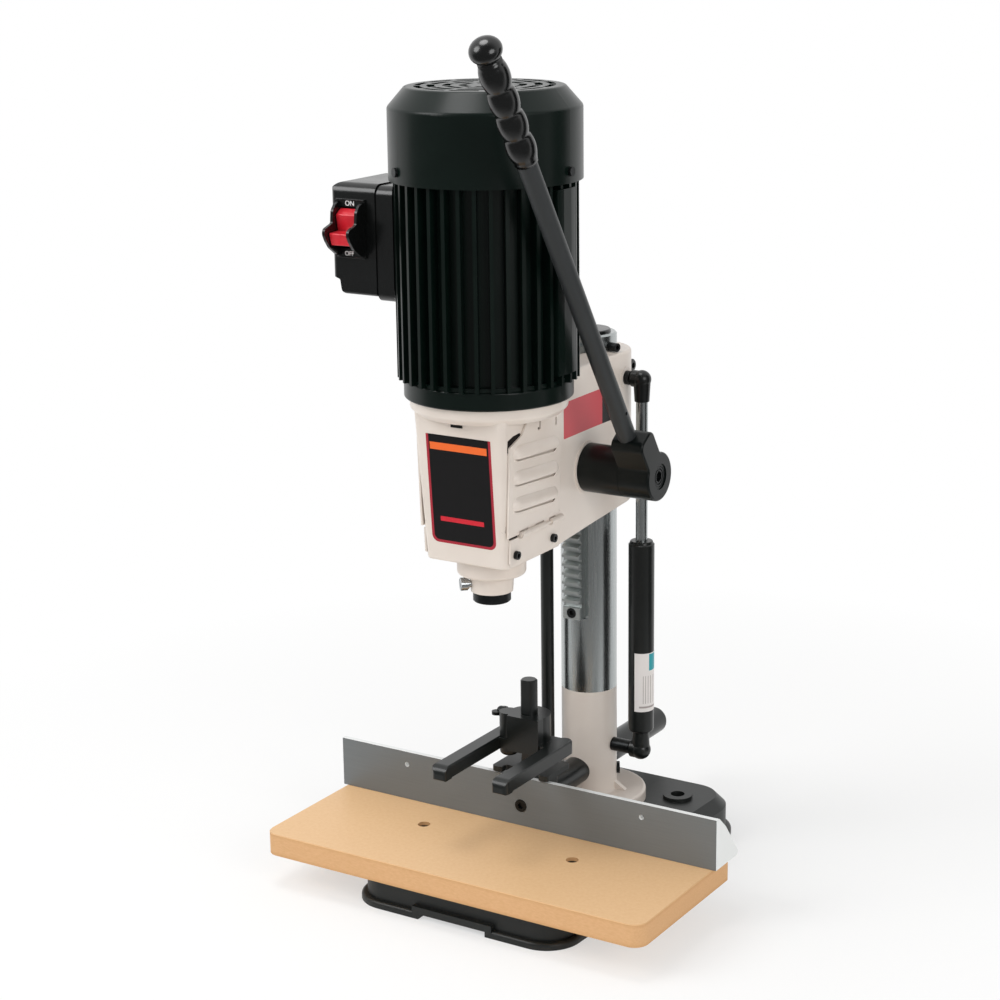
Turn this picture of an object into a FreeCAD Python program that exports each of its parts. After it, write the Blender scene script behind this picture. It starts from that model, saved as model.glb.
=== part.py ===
"""Benchtop mortiser: one STEP file for each piece, in millimetres.

X is the operator's right, Y points to the back, Z is up. The origin is on the
bench, straight below the column axis.
"""
import FreeCAD, Part
import math
import os

V = FreeCAD.Vector
X_AXIS, Y_AXIS, Z_AXIS = V(1, 0, 0), V(0, 1, 0), V(0, 0, 1)

# ---------------------------------------------------------------- fits
RUN = 0.05            # radial clearance of a shaft that turns or slides in its bore
GAP = 0.3             # space between pieces that pass each other
SEAT = 0.02           # radial clearance of a screw or pin that stays put

# ---------------------------------------------------------------- base casting
BASE_FRONT_Y, BASE_REAR_Y = -210.0, 70.5          # edges of the deck
BASE_FRONT_HALF, BASE_REAR_HALF = 87.0, 99.0
BASE_FRONT_CORNER, BASE_REAR_CORNER = 16.0, 24.0
BASE_BEVEL, BASE_BEVEL_LOW_Z = 9.0, 26.0          # the walls stand out beyond the deck
BASE_LIP, BASE_LIP_H = 14.0, 6.0                  # foot lip, measured out from the deck
BASE_WALL = 8.0
BASE_DECK = 7.0                                   # thickness of the top plate
NOTCH_HALF, NOTCH_H = 32.0, 4.5                   # arch in the front lip
TABLE_SEAT_Z = 29.5
FOOT_SEAT_Z = 35.0
FOOT_SEAT_FRONT_Y = -62.0
BENCH_HOLE_X, BENCH_HOLE_Y, BENCH_HOLE_R = 69.0, 35.0, 6.15
BENCH_BOSS_R, BENCH_BOSS_H = 12.9, 3.0

# ---------------------------------------------------------------- table and fence
TABLE_HALF, TABLE_T = 178.9, 19.0
TABLE_FRONT_Y, TABLE_REAR_Y = -234.3, -84.3
TABLE_SCREW_X, TABLE_SCREW_Y = 72.0, -153.5
FENCE_FACE_Y = -115.1
FENCE_HALF = TABLE_HALF + 3.3
FENCE_H, FENCE_T = 42.5, 5.4
FENCE_TOE = 39.0                                  # how far the fence's foot reaches back
FENCE_RIB_T = 5.0
FENCE_HOLE_X, FENCE_HOLE_R = TABLE_HALF - 64.4, 2.2

# ---------------------------------------------------------------- column
COLUMN_R, COLUMN_WALL = 24.0, 8.0
COLUMN_TOP_Z = 450.0
NECK_TOP_Z = 139.0
SPIGOT_R, SPIGOT_LEN = COLUMN_R - 4.0, 40.0
FLANGE_R, FLANGE_T = COLUMN_R + 25.5, 10.0
FOOT_BOLT_CIRCLE, FOOT_BOLT_R = COLUMN_R + 14.0, 4.0
FOOT_BOLT_ANGLES = [75.0, 165.0, 255.0, 345.0]    # clear of the depth stop rod
GUSSET_ANGLES = [10.0, 100.0, 190.0, 280.0]
ROD_R, ROD_Z = 12.0, 66.5                         # fence rod
ROD_FRONT_Y, ROD_REAR_Y = -97.0, 124.0
LOCK_ANGLE, LOCK_R, LOCK_TIP_R = 122.0, 5.3, 3.0  # the screw that grips the fence rod
LOCK_Z = 61.0
COLUMN_STOP_ANGLE, COLUMN_STOP_R = 78.0, 3.6

# ---------------------------------------------------------------- rack and pinion
MODULE = 2.5
PINION_TEETH = 28
RACK_W, RACK_BACK = 16.0, 5.375                   # width, and metal behind the teeth
RACK_FACE_Y = -(COLUMN_R - 3.0)                   # its back lies on a flat milled on the column
PITCH_LINE_Y = RACK_FACE_Y - RACK_BACK - 1.25 * MODULE
RACK_BOTTOM_Z, RACK_TOP_Z = 206.0, COLUMN_TOP_Z - 8.0
RACK_LAND = 12.0                                  # plain length at each end, for its screw
BACKLASH = 0.12                                   # taken off each flank of the pinion
PINION_Y, PINION_Z = PITCH_LINE_Y - MODULE * PINION_TEETH / 2, 352.0
PINION_W = 15.0
PINION_ROOM_R = MODULE * (PINION_TEETH / 2 + 1) + 1.5
PINION_ROOM_HALF = PINION_W / 2 + 1.0
PINION_SHAFT_R, BUSH_R = 9.0, 12.0

# ---------------------------------------------------------------- motor
CORE_R, FIN_T, FIN_COUNT = 62.5, 3.0, 36
FIN_R = CORE_R + 8.5
PAD_R = CORE_R + 9.7                              # outer radius of the two pads on the barrel
BELL_R, BELL_H = CORE_R + 3.8, 15.0
BODY_TOP_Z = 600.0
TOP_SHIELD_Z = (BODY_TOP_Z + 0.02, BODY_TOP_Z + 7.0)
COVER_R, COVER_WALL = CORE_R + 11.9, 1.8
COVER_LOW_Z, COVER_EDGE_Z = BODY_TOP_Z - 5.4, BODY_TOP_Z + 49.4
COVER_TOP_R, COVER_TOP_Z = COVER_R - 13.3, BODY_TOP_Z + 64.6
COVER_SCREW_ANGLES = [-32.0, 90.0, 212.0]
COVER_SCREW_Z = BODY_TOP_Z + 3.5
VENT_RINGS = [(14.0, 20.0, 6), (26.0, 32.0, 8), (38.0, 44.0, 10), (49.0, 54.0, 12)]
VENT_BAR = 4.0
STATOR_R = CORE_R - 5.5
ROTOR_R, ROTOR_LEN = 33.0, 110.0
SHAFT_R = 8.0
SHAFT_TOP_Z = BODY_TOP_Z + 46.0
FAN_R = CORE_R - 2.5
BEARING_R, BEARING_T = 17.5, 11.0
CHUCK_R, CHUCK_LOW_Z, CHUCK_TOP_Z = 17.0, 330.0, 376.0

# ---------------------------------------------------------------- head casting
SPINDLE_Y = -155.1
HEAD_BOTTOM_Z = 297.0
HEAD_REAR_BOTTOM_Z = 310.0
HEAD_TOP_Z = 436.0
COLUMN_STOP_Z = HEAD_TOP_Z + GAP + COLUMN_STOP_R      # the screw that the head comes up against
MOTOR_SEAT_Z = 426.6
MOTOR_FLANGE_R, MOTOR_FLANGE_T = BELL_R - 4.3, 13.0
NOSE_HALF_LOW, NOSE_HALF_TOP = 37.8, 41.8
NOSE_FRONT_LOW, NOSE_FRONT_TOP = -193.0, -203.0
NOSE_REAR_Y = -112.0
NOSE_CORNER = 6.0
ARM_HALF = COLUMN_R + 12.0                        # also the radius round the column
CHAMBER_FRONT_Y, CHAMBER_REAR_Y = -186.0, -122.0
CHAMBER_LOW_Z, CHAMBER_TOP_Z = 324.0, 398.0
COLLAR_R, COLLAR_LOW_Z = 27.7, 281.0
SOCKET_R, SOCKET_LOW_Z = 18.0, 266.5
SOCKET_SPIGOT_R, SOCKET_TOP_Z = 17.0, 303.0       # the register that fits up into the head
BUSHING_R, BUSHING_BORE_R = 12.5, 9.525
BUSHING_RIM_R, BUSHING_LOW_Z, BUSHING_LEN = 15.25, 258.0, 44.0
BUSHING_RIM_H = SOCKET_LOW_Z - BUSHING_LOW_Z
CHISEL_SCREW_Z, CHISEL_SCREW_ANGLE, CHISEL_SCREW_R = 273.0, -45.0, 3.0
PLUG_HALF, PLUG_Z = 5.0, 411.0
CLAMP_Y, CLAMP_Z = COLUMN_R + 7.0, 417.5          # the bolt that closes the split clamp
CLAMP_HALF, CLAMP_BOLT_R, CLAMP_HEAD_R = 18.0, 4.0, 5.5
LOCK_HUB_R = 7.5

# ---------------------------------------------------------------- side doors
DOOR_FRONT_Y, DOOR_REAR_Y = -194.0, -117.5
DOOR_TOP_Z = 411.0
DOOR_T, DOOR_OFF = 1.6, 0.35                      # sheet, and the space behind it
HINGE_Z, HINGE_OUT = 323.0, 2.9                   # hinge height, and its distance from the side wall
KNUCKLE_R, HINGE_PIN_R = 2.6, 1.2
DOOR_KNUCKLES = [(-164.9, -153.9), (-123.2, -115.0)]
STRIP_KNUCKLES = [(-177.8, -165.2), (-153.6, -141.3), (-132.6, -123.5)]
STRIP_FRONT_Y, STRIP_LOW_Z = -190.5, 301.0
STRIP_SCREW_YS, STRIP_SCREW_UP, STRIP_SCREW_R = [-182.8, -127.0], -14.8, 2.0
LOUVRE_HEIGHTS = [347.4, 368.5, 388.6]            # of their axes, at the front ends
LOUVRE_R, LOUVRE_RISE, LOUVRE_TILT = 9.0, 3.6, 4.0

# ---------------------------------------------------------------- switch box
BOX_SEAM_X = -(PAD_R + 6.4)
BOX_OUTER_X = BOX_SEAM_X - 42.2
BOX_HALF_DEPTH = 36.5
BOX_LOW_Z, BOX_TOP_Z = 502.0, 589.0
BOX_WALL = 3.0
SWITCH_X, SWITCH_Z = BOX_SEAM_X - 22.0, 554.3
SWITCH_W, SWITCH_H = 27.5, 45.6
PADDLE_W, CHEEK_T = 19.0, 2.4

# ---------------------------------------------------------------- handle
HUB_R = 20.0
HUB_SEAM_X = COVER_R + 0.6                        # puts the handle's rod just clear of the fan cover
HUB_END_X = HUB_SEAM_X + 28.0
CLUTCH_HEX, CLUTCH_LEN = 13.5, 7.5                # the hexagon that drives the handle hub
HANDLE_TRAVEL = 8.0                               # how far the handle hub pulls out
NECK_R = 6.0
SPRING_ROOM_R, SPRING_ROOM_X = 8.5, HUB_END_X - 15.5
SCREW_HEAD_R, SCREW_SEAT_X, HUB_SCREW_R = 8.2, HUB_END_X - 5.5, 4.0
HANDLE_X = HUB_SEAM_X + 10.4
ROD_SEAT = 15.0                                   # from the hub axis to the bottom of the handle's socket
LUG_HALF, LUG_TOP, LUG_CORNER = 11.5, 43.0, 7.0   # the block that holds the rod
HANDLE_LEAN = 32.6                                # degrees forward of upright
HANDLE_ROD_R = 7.5
GRIP_START, GRIP_LEN = 317.2, 97.6                # from the hub axis, and on to the ball's centre
BALL_R, BULGE_R, BULGE_COUNT = 12.1, 11.1, 4

# ---------------------------------------------------------------- gas strut
STRUT_X = ARM_HALF + 15.2
STRUT_LOW_Z, STRUT_TOP_Z = 88.0, 414.0            # heights of the two ball studs
STRUT_TUBE_R, STRUT_ROD_R, STRUT_BORE_R = 11.0, 5.0, 9.2
STRUT_TUBE_Z = (105.5, 275.7)
SOCKET_END_Z = 395.5
STUD_R = 4.0

# ---------------------------------------------------------------- depth stop
STOP_X, STOP_Y, STOP_R = -(COLUMN_R + 2.5), -(COLUMN_R + 1.5), 5.6
STOP_TOP_Z = COLUMN_TOP_Z + 20.0
STOP_COLLAR_R, STOP_COLLAR_H, STOP_COLLAR_Z = 9.0, 12.0, 65.0
STOP_SCREW_ANGLE = 70.0

# ---------------------------------------------------------------- hold-down
POST_Y, POST_R, POST_TOP_Z = -100.0, 7.1, 174.0
BRACKET_HALF, BRACKET_REAR_Y = 17.0, -80.0
ARM_PLATE_Z = (93.4, 98.0)
FORK_HUB_R, FORK_HUB_Z = 18.0, (113.0, 144.0)
FORK_FLAT_X, FORK_FLAT_Y = (-13.0, 17.0), -114.5   # the hub's flat front
FORK_LUG_X, FORK_LUG_Y, FORK_LUG_R = -17.5, -104.0, 8.0
FORK_LUG_LOW_Z = 106.0
PRONG_X, PRONG_W, PRONG_Z = 29.0, 14.0, (112.0, 123.0)
PRONG_REAR_Y, PRONG_TIP_Y = -86.0, -195.0
PRONG_NOSE_R, PRONG_NIB = 7.0, 1.0                # the round over the tip, and the lip under it
THUMB_ANGLE, THUMB_Z, THUMB_HEAD = -95.0, 139.5, 26.0


# ================================================================ helpers
def block(x0, x1, y0, y1, z0, z1):
    return Part.makeBox(x1 - x0, y1 - y0, z1 - z0, V(x0, y0, z0))


def rod(radius, start, direction, length):
    """A cylinder from start, along direction."""
    return Part.makeCylinder(radius, length, V(*start), direction)


def ring(outer, inner, start, direction, length):
    return rod(outer, start, direction, length).cut(rod(inner, start, direction, length))


def outline(points, place):
    """A closed wire through (a, b, radius) corners; place maps (a, b) to space."""
    count = len(points)
    edges = []
    last_end = None
    first_start = None
    for i, (a, b, radius) in enumerate(points):
        here = V(a, b, 0)
        before = V(points[i - 1][0], points[i - 1][1], 0)
        after = V(points[(i + 1) % count][0], points[(i + 1) % count][1], 0)
        back = (before - here).normalize()
        ahead = (after - here).normalize()
        start = end = here
        if radius > 0:
            half = back.getAngle(ahead) / 2
            reach = radius / math.tan(half)
            start, end = here + back * reach, here + ahead * reach
            bisector = (back + ahead).normalize()
            middle = here + bisector * (radius / math.sin(half) - radius)
        if last_end is not None and last_end.distanceToPoint(start) > 1e-6:
            edges.append(Part.makeLine(place(last_end), place(start)))
        if radius > 0:
            edges.append(Part.Arc(place(start), place(middle), place(end)).toShape())
        first_start = first_start or start
        last_end = end
    if last_end.distanceToPoint(first_start) > 1e-6:
        edges.append(Part.makeLine(place(last_end), place(first_start)))
    return Part.Wire(edges)


def corners(points):
    """Points given as (a, b) get a radius of 0."""
    return [p if len(p) == 3 else (p[0], p[1], 0) for p in points]


def plan(points, z0, z1):
    """An outline of (x, y) or (x, y, radius) corners, raised from z0 to z1."""
    wire = outline(corners(points), lambda p: V(p.x, p.y, z0))
    return Part.Face(wire).extrude(V(0, 0, z1 - z0))


def side(points, x0, x1):
    """An outline of (y, z) or (y, z, radius) corners, extruded along X."""
    wire = outline(corners(points), lambda p: V(x0, p.x, p.y))
    return Part.Face(wire).extrude(V(x1 - x0, 0, 0))


def front(points, y0, y1):
    """An outline of (x, z) or (x, z, radius) corners, extruded along Y."""
    wire = outline(corners(points), lambda p: V(p.x, y0, p.y))
    return Part.Face(wire).extrude(V(0, y1 - y0, 0))


def turned(points, base=(0, 0, 0), direction=Z_AXIS):
    """A profile of (radius, height) or (radius, height, corner) turned a full circle."""
    wire = outline(corners(points), lambda p: V(p.x, 0, p.y))
    shape = Part.Face(wire).revolve(V(0, 0, 0), Z_AXIS, 360)
    shape.Placement = FreeCAD.Placement(V(*base), FreeCAD.Rotation(Z_AXIS, direction))
    return shape


def loft(wires):
    return Part.makeLoft(wires, True, True)


def fused(shapes):
    """One solid from overlapping shapes."""
    first, rest = shapes[0], shapes[1:]
    return first.multiFuse(rest).removeSplitter() if rest else first


def cut_all(shape, tools):
    return shape.cut(Part.makeCompound(tools)) if tools else shape


def both_sides(shape):
    """The shape and its mirror image across the machine's middle plane."""
    return [shape, shape.mirror(V(0, 0, 0), X_AXIS)]


def edges_at(shape, test):
    """The edges whose whole length passes the test on a point."""
    found = []
    for edge in shape.Edges:
        params = edge.ParameterRange
        middle = edge.valueAt((params[0] + params[1]) / 2)
        if all(test(p) for p in [v.Point for v in edge.Vertexes] + [middle]):
            found.append(edge)
    return found


def polar(radius, degrees, z=0.0, centre=(0.0, 0.0)):
    """A point at an angle measured from -Y (the front) towards +X (the right)."""
    angle = math.radians(degrees)
    return V(centre[0] + radius * math.sin(angle), centre[1] - radius * math.cos(angle), z)


def outward(degrees):
    return polar(1.0, degrees)


def hex_bar(across, start, direction, length):
    """A hexagonal prism across flats, from start along direction."""
    radius = across / math.sqrt(3)
    points = [V(radius * math.cos(math.radians(60 * i)), radius * math.sin(math.radians(60 * i)), 0)
              for i in range(7)]
    shape = Part.Face(Part.makePolygon(points)).extrude(V(0, 0, length))
    shape.Placement = FreeCAD.Placement(V(*start), FreeCAD.Rotation(Z_AXIS, direction))
    return shape


def cap_screw(head_r, head_h, shank_r, length, start, direction):
    """A socket-head screw: start is under the head, direction points out of the head."""
    start = V(*start)
    head = rod(head_r, start, direction, head_h)
    shank = rod(shank_r, start, direction * -1, length)
    socket = hex_bar(head_r, start + direction * (head_h * 0.45), direction, head_h)
    return fused([head, shank]).cut(socket)


def save(name, *shapes):
    """Write one node; it may hold several separate solids."""
    shape = shapes[0] if len(shapes) == 1 else Part.makeCompound(list(shapes))
    if len(shape.Solids) == 1:
        shape = shape.Solids[0]
    shape.exportStep(f"parts/{name}.step")


# ================================================================ base, table, column foot
def base_plan(grow, z):
    """The outline of the base's deck at a height, grown outwards by a distance."""
    half = [(BASE_FRONT_HALF + grow, BASE_FRONT_Y - grow, BASE_FRONT_CORNER + grow),
            (BASE_REAR_HALF + grow, BASE_REAR_Y + grow, BASE_REAR_CORNER + grow)]
    mirrored = [(-x, y, r) for x, y, r in reversed(half)]
    return outline(half + mirrored, lambda p: V(p.x, p.y, z))


def foot_bolt_places():
    return [polar(FOOT_BOLT_CIRCLE, angle) for angle in FOOT_BOLT_ANGLES]


def base_shell():
    """Foot lip, upright walls and a bevelled top, hollow from below."""
    lip = Part.Face(base_plan(BASE_LIP, 0)).extrude(V(0, 0, BASE_LIP_H))
    bump = Part.Face(base_plan(BASE_LIP, 0)).extrude(V(0, 0, BASE_LIP_H + NOTCH_H))
    bump = bump.common(block(-NOTCH_HALF - 6, NOTCH_HALF + 6, -300, BASE_FRONT_Y - 2, 0, 60))
    lip = fused([lip, bump])
    lip = lip.makeFillet(3.0,
                         edges_at(lip,
                                  lambda p: abs(p.z - BASE_LIP_H) < 0.01 and abs(p.x) > NOTCH_HALF + 7))
    walls = Part.Face(base_plan(BASE_BEVEL, 0)).extrude(V(0, 0, BASE_BEVEL_LOW_Z))
    crown = loft([base_plan(BASE_BEVEL, BASE_BEVEL_LOW_Z - 0.01), base_plan(0, FOOT_SEAT_Z)])
    step = block(-300, 300, -300, FOOT_SEAT_FRONT_Y, TABLE_SEAT_Z, FOOT_SEAT_Z + 10)
    shell = fused([lip, walls, crown]).cut(step)
    room = loft([base_plan(BASE_BEVEL - BASE_WALL, -1),
                 base_plan(BASE_BEVEL - BASE_WALL - 6, TABLE_SEAT_Z - BASE_DECK)])
    return shell.cut(room)


def base_casting():
    shell = base_shell()
    ribs = [block(-BASE_REAR_HALF, BASE_REAR_HALF, y - 3, y + 3, 6, TABLE_SEAT_Z - 3) for y in (-110.0,
                                                                                                -45.0,
                                                                                                20.0)]
    ribs += [block(x - 3, x + 3, BASE_FRONT_Y, BASE_REAR_Y, 6, TABLE_SEAT_Z - 3) for x in (-36.0, 36.0)]
    ribs.append(block(-4, 4, FOOT_SEAT_FRONT_Y, BASE_REAR_Y, 0, TABLE_SEAT_Z - 3))
    room = loft([base_plan(4, 0), base_plan(2, TABLE_SEAT_Z)])
    ribs = [rib.common(room) for rib in ribs]
    posts = []
    for x in (-BENCH_HOLE_X, BENCH_HOLE_X):
        posts.append(rod(BENCH_BOSS_R, (x, BENCH_HOLE_Y, 0), Z_AXIS, FOOT_SEAT_Z + BENCH_BOSS_H))
    for x in (-TABLE_SCREW_X, TABLE_SCREW_X):
        posts.append(rod(9, (x, TABLE_SCREW_Y, 8), Z_AXIS, TABLE_SEAT_Z - 8))
    shell = fused([shell] + ribs + posts)
    tools = [block(-NOTCH_HALF, NOTCH_HALF, -300, BASE_FRONT_Y + 6, -1, NOTCH_H)]
    for x in (-BENCH_HOLE_X, BENCH_HOLE_X):
        tools.append(rod(BENCH_HOLE_R, (x, BENCH_HOLE_Y, -1), Z_AXIS, 60))
    for x in (-TABLE_SCREW_X, TABLE_SCREW_X):
        tools.append(rod(3 + SEAT, (x, TABLE_SCREW_Y, 0), Z_AXIS, 40))
    for place in foot_bolt_places():
        tools.append(rod(FOOT_BOLT_R + SEAT, (place.x, place.y, 0), Z_AXIS, 60))
        tools.append(rod(8.5, (place.x, place.y, -1), Z_AXIS, TABLE_SEAT_Z - BASE_DECK + 1))
    return cut_all(shell, tools)


def foot_bolts():
    under = TABLE_SEAT_Z - BASE_DECK
    bolts = []
    for place in foot_bolt_places():
        head = hex_bar(13, (place.x, place.y, under - 6), Z_AXIS, 6)
        shank = rod(FOOT_BOLT_R, (place.x, place.y, under - 1), Z_AXIS, FOOT_SEAT_Z + FLANGE_T - 2 - under)
        bolts.append(fused([head, shank]))
    return bolts


def gusset(angle):
    """A small web between the flange and the neck."""
    top = FOOT_SEAT_Z + FLANGE_T
    web = side([(-COLUMN_R + 1, top - 1), (-COLUMN_R - 10, top - 1), (-COLUMN_R - 10, top),
                (-COLUMN_R + 1, top + 8)], -2.5, 2.5)
    web.rotate(V(0, 0, 0), Z_AXIS, angle)
    return web


def column_foot():
    """A round flange with a neck that carries the column and guides the fence rod."""
    top = FOOT_SEAT_Z + FLANGE_T
    foot = turned([(0, FOOT_SEAT_Z), (FLANGE_R, FOOT_SEAT_Z), (FLANGE_R, top, 2.5),
                   (COLUMN_R, top, 3.0), (COLUMN_R, NECK_TOP_Z), (0, NECK_TOP_Z)])
    foot = fused([foot] + [gusset(angle) for angle in GUSSET_ANGLES])
    tools = [rod(SPIGOT_R + SEAT, (0, 0, NECK_TOP_Z - SPIGOT_LEN), Z_AXIS, SPIGOT_LEN + 1),
             rod(ROD_R + RUN, (0, -60, ROD_Z), Y_AXIS, 120),
             rod(STUD_R + SEAT, (COLUMN_R - 12, 0, STRUT_LOW_Z), X_AXIS, 40),
             rod(STOP_R + SEAT, (STOP_X, STOP_Y, FOOT_SEAT_Z - 1), Z_AXIS, 30)]
    tools += [rod(FOOT_BOLT_R + SEAT, (p.x, p.y, FOOT_SEAT_Z - 1), Z_AXIS,
                  FLANGE_T) for p in foot_bolt_places()]
    tools.append(rod(LOCK_R + RUN, V(0, 0, LOCK_Z), outward(LOCK_ANGLE), 40))
    return cut_all(foot, tools)


def rod_lock_screw():
    """A socket set screw with a dog point, in the side of the neck."""
    out = outward(LOCK_ANGLE)
    centre = V(0, 0, LOCK_Z)
    body = rod(LOCK_R, centre + out * (ROD_R + 5.3), out, COLUMN_R - ROD_R - 2.8)
    dog = rod(LOCK_TIP_R, centre + out * (ROD_R + 3.3), out, 3.0)
    socket = hex_bar(5.0, centre + out * (COLUMN_R - 2.0), out, 9.0)
    return fused([body, dog]).cut(socket)


def table_board():
    board = plan([(-TABLE_HALF, TABLE_FRONT_Y, 12), (TABLE_HALF, TABLE_FRONT_Y, 12),
                  (TABLE_HALF, TABLE_REAR_Y, 4), (-TABLE_HALF, TABLE_REAR_Y, 4)],
                 TABLE_SEAT_Z, TABLE_SEAT_Z + TABLE_T)
    board = board.makeChamfer(0.6, edges_at(board, lambda p: abs(p.z - TABLE_SEAT_Z - TABLE_T) < 0.01))
    tools = []
    for x in (-TABLE_SCREW_X, TABLE_SCREW_X):
        tools.append(rod(3 + SEAT, (x, TABLE_SCREW_Y, TABLE_SEAT_Z - 1), Z_AXIS, 30))
        tools.append(rod(5.2, (x, TABLE_SCREW_Y, TABLE_SEAT_Z + TABLE_T - 8), Z_AXIS, 10))
    return cut_all(board, tools)


def table_screws():
    seat = TABLE_SEAT_Z + TABLE_T - 8
    return [cap_screw(4.9, 5.0, 3.0, seat - TABLE_SEAT_Z + 14, (x, TABLE_SCREW_Y, seat), Z_AXIS)
            for x in (-TABLE_SCREW_X, TABLE_SCREW_X)]


# ================================================================ column, rack, depth stop rod
def rack_screw_heights():
    return [RACK_BOTTOM_Z + RACK_LAND / 2 - 0.5, (RACK_BOTTOM_Z + RACK_TOP_Z) / 2 - 60,
            RACK_TOP_Z - RACK_LAND / 2]


def column_tube():
    tube = rod(COLUMN_R, (0, 0, NECK_TOP_Z), Z_AXIS, COLUMN_TOP_Z - NECK_TOP_Z)
    tube = tube.makeChamfer(1.5, edges_at(tube, lambda p: abs(p.z - COLUMN_TOP_Z) < 0.01))
    spigot = rod(SPIGOT_R, (0, 0, NECK_TOP_Z - SPIGOT_LEN), Z_AXIS, SPIGOT_LEN)
    tube = fused([tube, spigot])
    bore = rod(COLUMN_R - COLUMN_WALL, (0, 0, NECK_TOP_Z - SPIGOT_LEN - 1), Z_AXIS, 500)
    flat = block(-COLUMN_R, COLUMN_R, -COLUMN_R - 1, RACK_FACE_Y, RACK_BOTTOM_Z - 0.5, COLUMN_TOP_Z + 1)
    tools = [bore, flat]
    tools += [rod(2.5 + SEAT, (0, RACK_FACE_Y - 1, z), Y_AXIS, 10) for z in rack_screw_heights()]
    tools.append(rod(3 + SEAT, (0, 0, COLUMN_STOP_Z), outward(COLUMN_STOP_ANGLE), 40))
    return cut_all(tube, tools)


def column_plug():
    """The disc that closes the top of the column."""
    inner = COLUMN_R - COLUMN_WALL
    plug = turned([(0, COLUMN_TOP_Z - 12), (inner - SEAT, COLUMN_TOP_Z - 12), (inner - SEAT, COLUMN_TOP_Z),
                   (inner + 3, COLUMN_TOP_Z), (inner + 3, COLUMN_TOP_Z + 2.5, 1.5),
                   (0, COLUMN_TOP_Z + 2.5)])
    return plug.cut(rod(4, (0, 0, COLUMN_TOP_Z - 2), Z_AXIS, 10))


def column_stop_screw():
    """Stops the head at the top of its travel."""
    out = outward(COLUMN_STOP_ANGLE)
    seat = out * (COLUMN_R + 0.02) + V(0, 0, COLUMN_STOP_Z)
    return cap_screw(COLUMN_STOP_R, 8.5, 3.0, 6.0, seat, out)


def rack_tooth_pitch():
    return math.pi * MODULE


def rack():
    """Straight 20 degree teeth with a gap opposite the pinion's axis."""
    pitch = rack_tooth_pitch()
    lean = math.tan(math.radians(20))
    tip_y, root_y = PITCH_LINE_Y - MODULE, PITCH_LINE_Y + 1.25 * MODULE
    half_tip = pitch / 4 - MODULE * lean
    half_root = pitch / 4 + 1.25 * MODULE * lean
    low = RACK_BOTTOM_Z + RACK_LAND
    high = RACK_TOP_Z - RACK_LAND
    first = math.ceil((low - PINION_Z + half_root) / pitch - 0.5)
    last = math.floor((high - PINION_Z - half_root) / pitch - 0.5)
    points = [(RACK_FACE_Y, RACK_BOTTOM_Z), (tip_y + 2, RACK_BOTTOM_Z), (tip_y + 2, low - 1.5),
              (root_y, low - 1.5)]
    for i in range(first, last + 1):
        z = PINION_Z + (i + 0.5) * pitch
        points += [(root_y, z - half_root), (tip_y, z - half_tip), (tip_y, z + half_tip),
                   (root_y, z + half_root)]
    points += [(root_y, high + 1.5), (tip_y + 2, high + 1.5), (tip_y + 2, RACK_TOP_Z),
               (RACK_FACE_Y, RACK_TOP_Z)]
    bar = side(points, -RACK_W / 2, RACK_W / 2)
    tools = []
    for z in rack_screw_heights():
        tools.append(rod(2.5 + SEAT, (0, -40, z), Y_AXIS, 30))
        tools.append(rod(4.5, (0, -40, z), Y_AXIS, 40 + root_y + 0.6))
    return cut_all(bar, tools)


def rack_screws():
    seat = PITCH_LINE_Y + 1.25 * MODULE + 0.6
    return [cap_screw(4.2, 3.6, 2.5, RACK_FACE_Y - seat + 4.5, (0, seat, z), Y_AXIS * -1)
            for z in rack_screw_heights()]


def column_screws():
    return rack_screws() + [column_stop_screw()]


def depth_stop_rod():
    low = FOOT_SEAT_Z + 1
    return turned([(0, low), (STOP_R, low), (STOP_R, STOP_TOP_Z - 1), (STOP_R - 1, STOP_TOP_Z),
                   (0, STOP_TOP_Z)],
                  (STOP_X, STOP_Y, 0))


def depth_stop_collar():
    collar = ring(STOP_COLLAR_R, STOP_R + RUN, (STOP_X, STOP_Y, STOP_COLLAR_Z), Z_AXIS, STOP_COLLAR_H)
    collar = collar.makeChamfer(0.8, edges_at(
        collar, lambda p: abs(math.hypot(p.x - STOP_X, p.y - STOP_Y) - STOP_COLLAR_R) < 0.01))
    out = outward(STOP_SCREW_ANGLE)
    return collar.cut(rod(2.0 + RUN, (STOP_X, STOP_Y, STOP_COLLAR_Z + STOP_COLLAR_H / 2), out, 20))


def depth_stop_screw():
    out = outward(STOP_SCREW_ANGLE)
    centre = V(STOP_X, STOP_Y, STOP_COLLAR_Z + STOP_COLLAR_H / 2)
    head_start = STOP_COLLAR_R + GAP
    shank = rod(2.0, centre + out * (STOP_R + GAP), out, head_start - STOP_R)
    head = rod(3.4, centre + out * head_start, out, 4.0)
    slot = block(-0.5, 0.5, -5, 5, 0, 3)
    slot.Placement = FreeCAD.Placement(centre + out * (head_start + 2.8), FreeCAD.Rotation(Z_AXIS, out))
    return fused([shank, head]).cut(slot)


# ================================================================ fence and hold-down
def fence_low_z():
    return TABLE_SEAT_Z + TABLE_T + GAP


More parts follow.
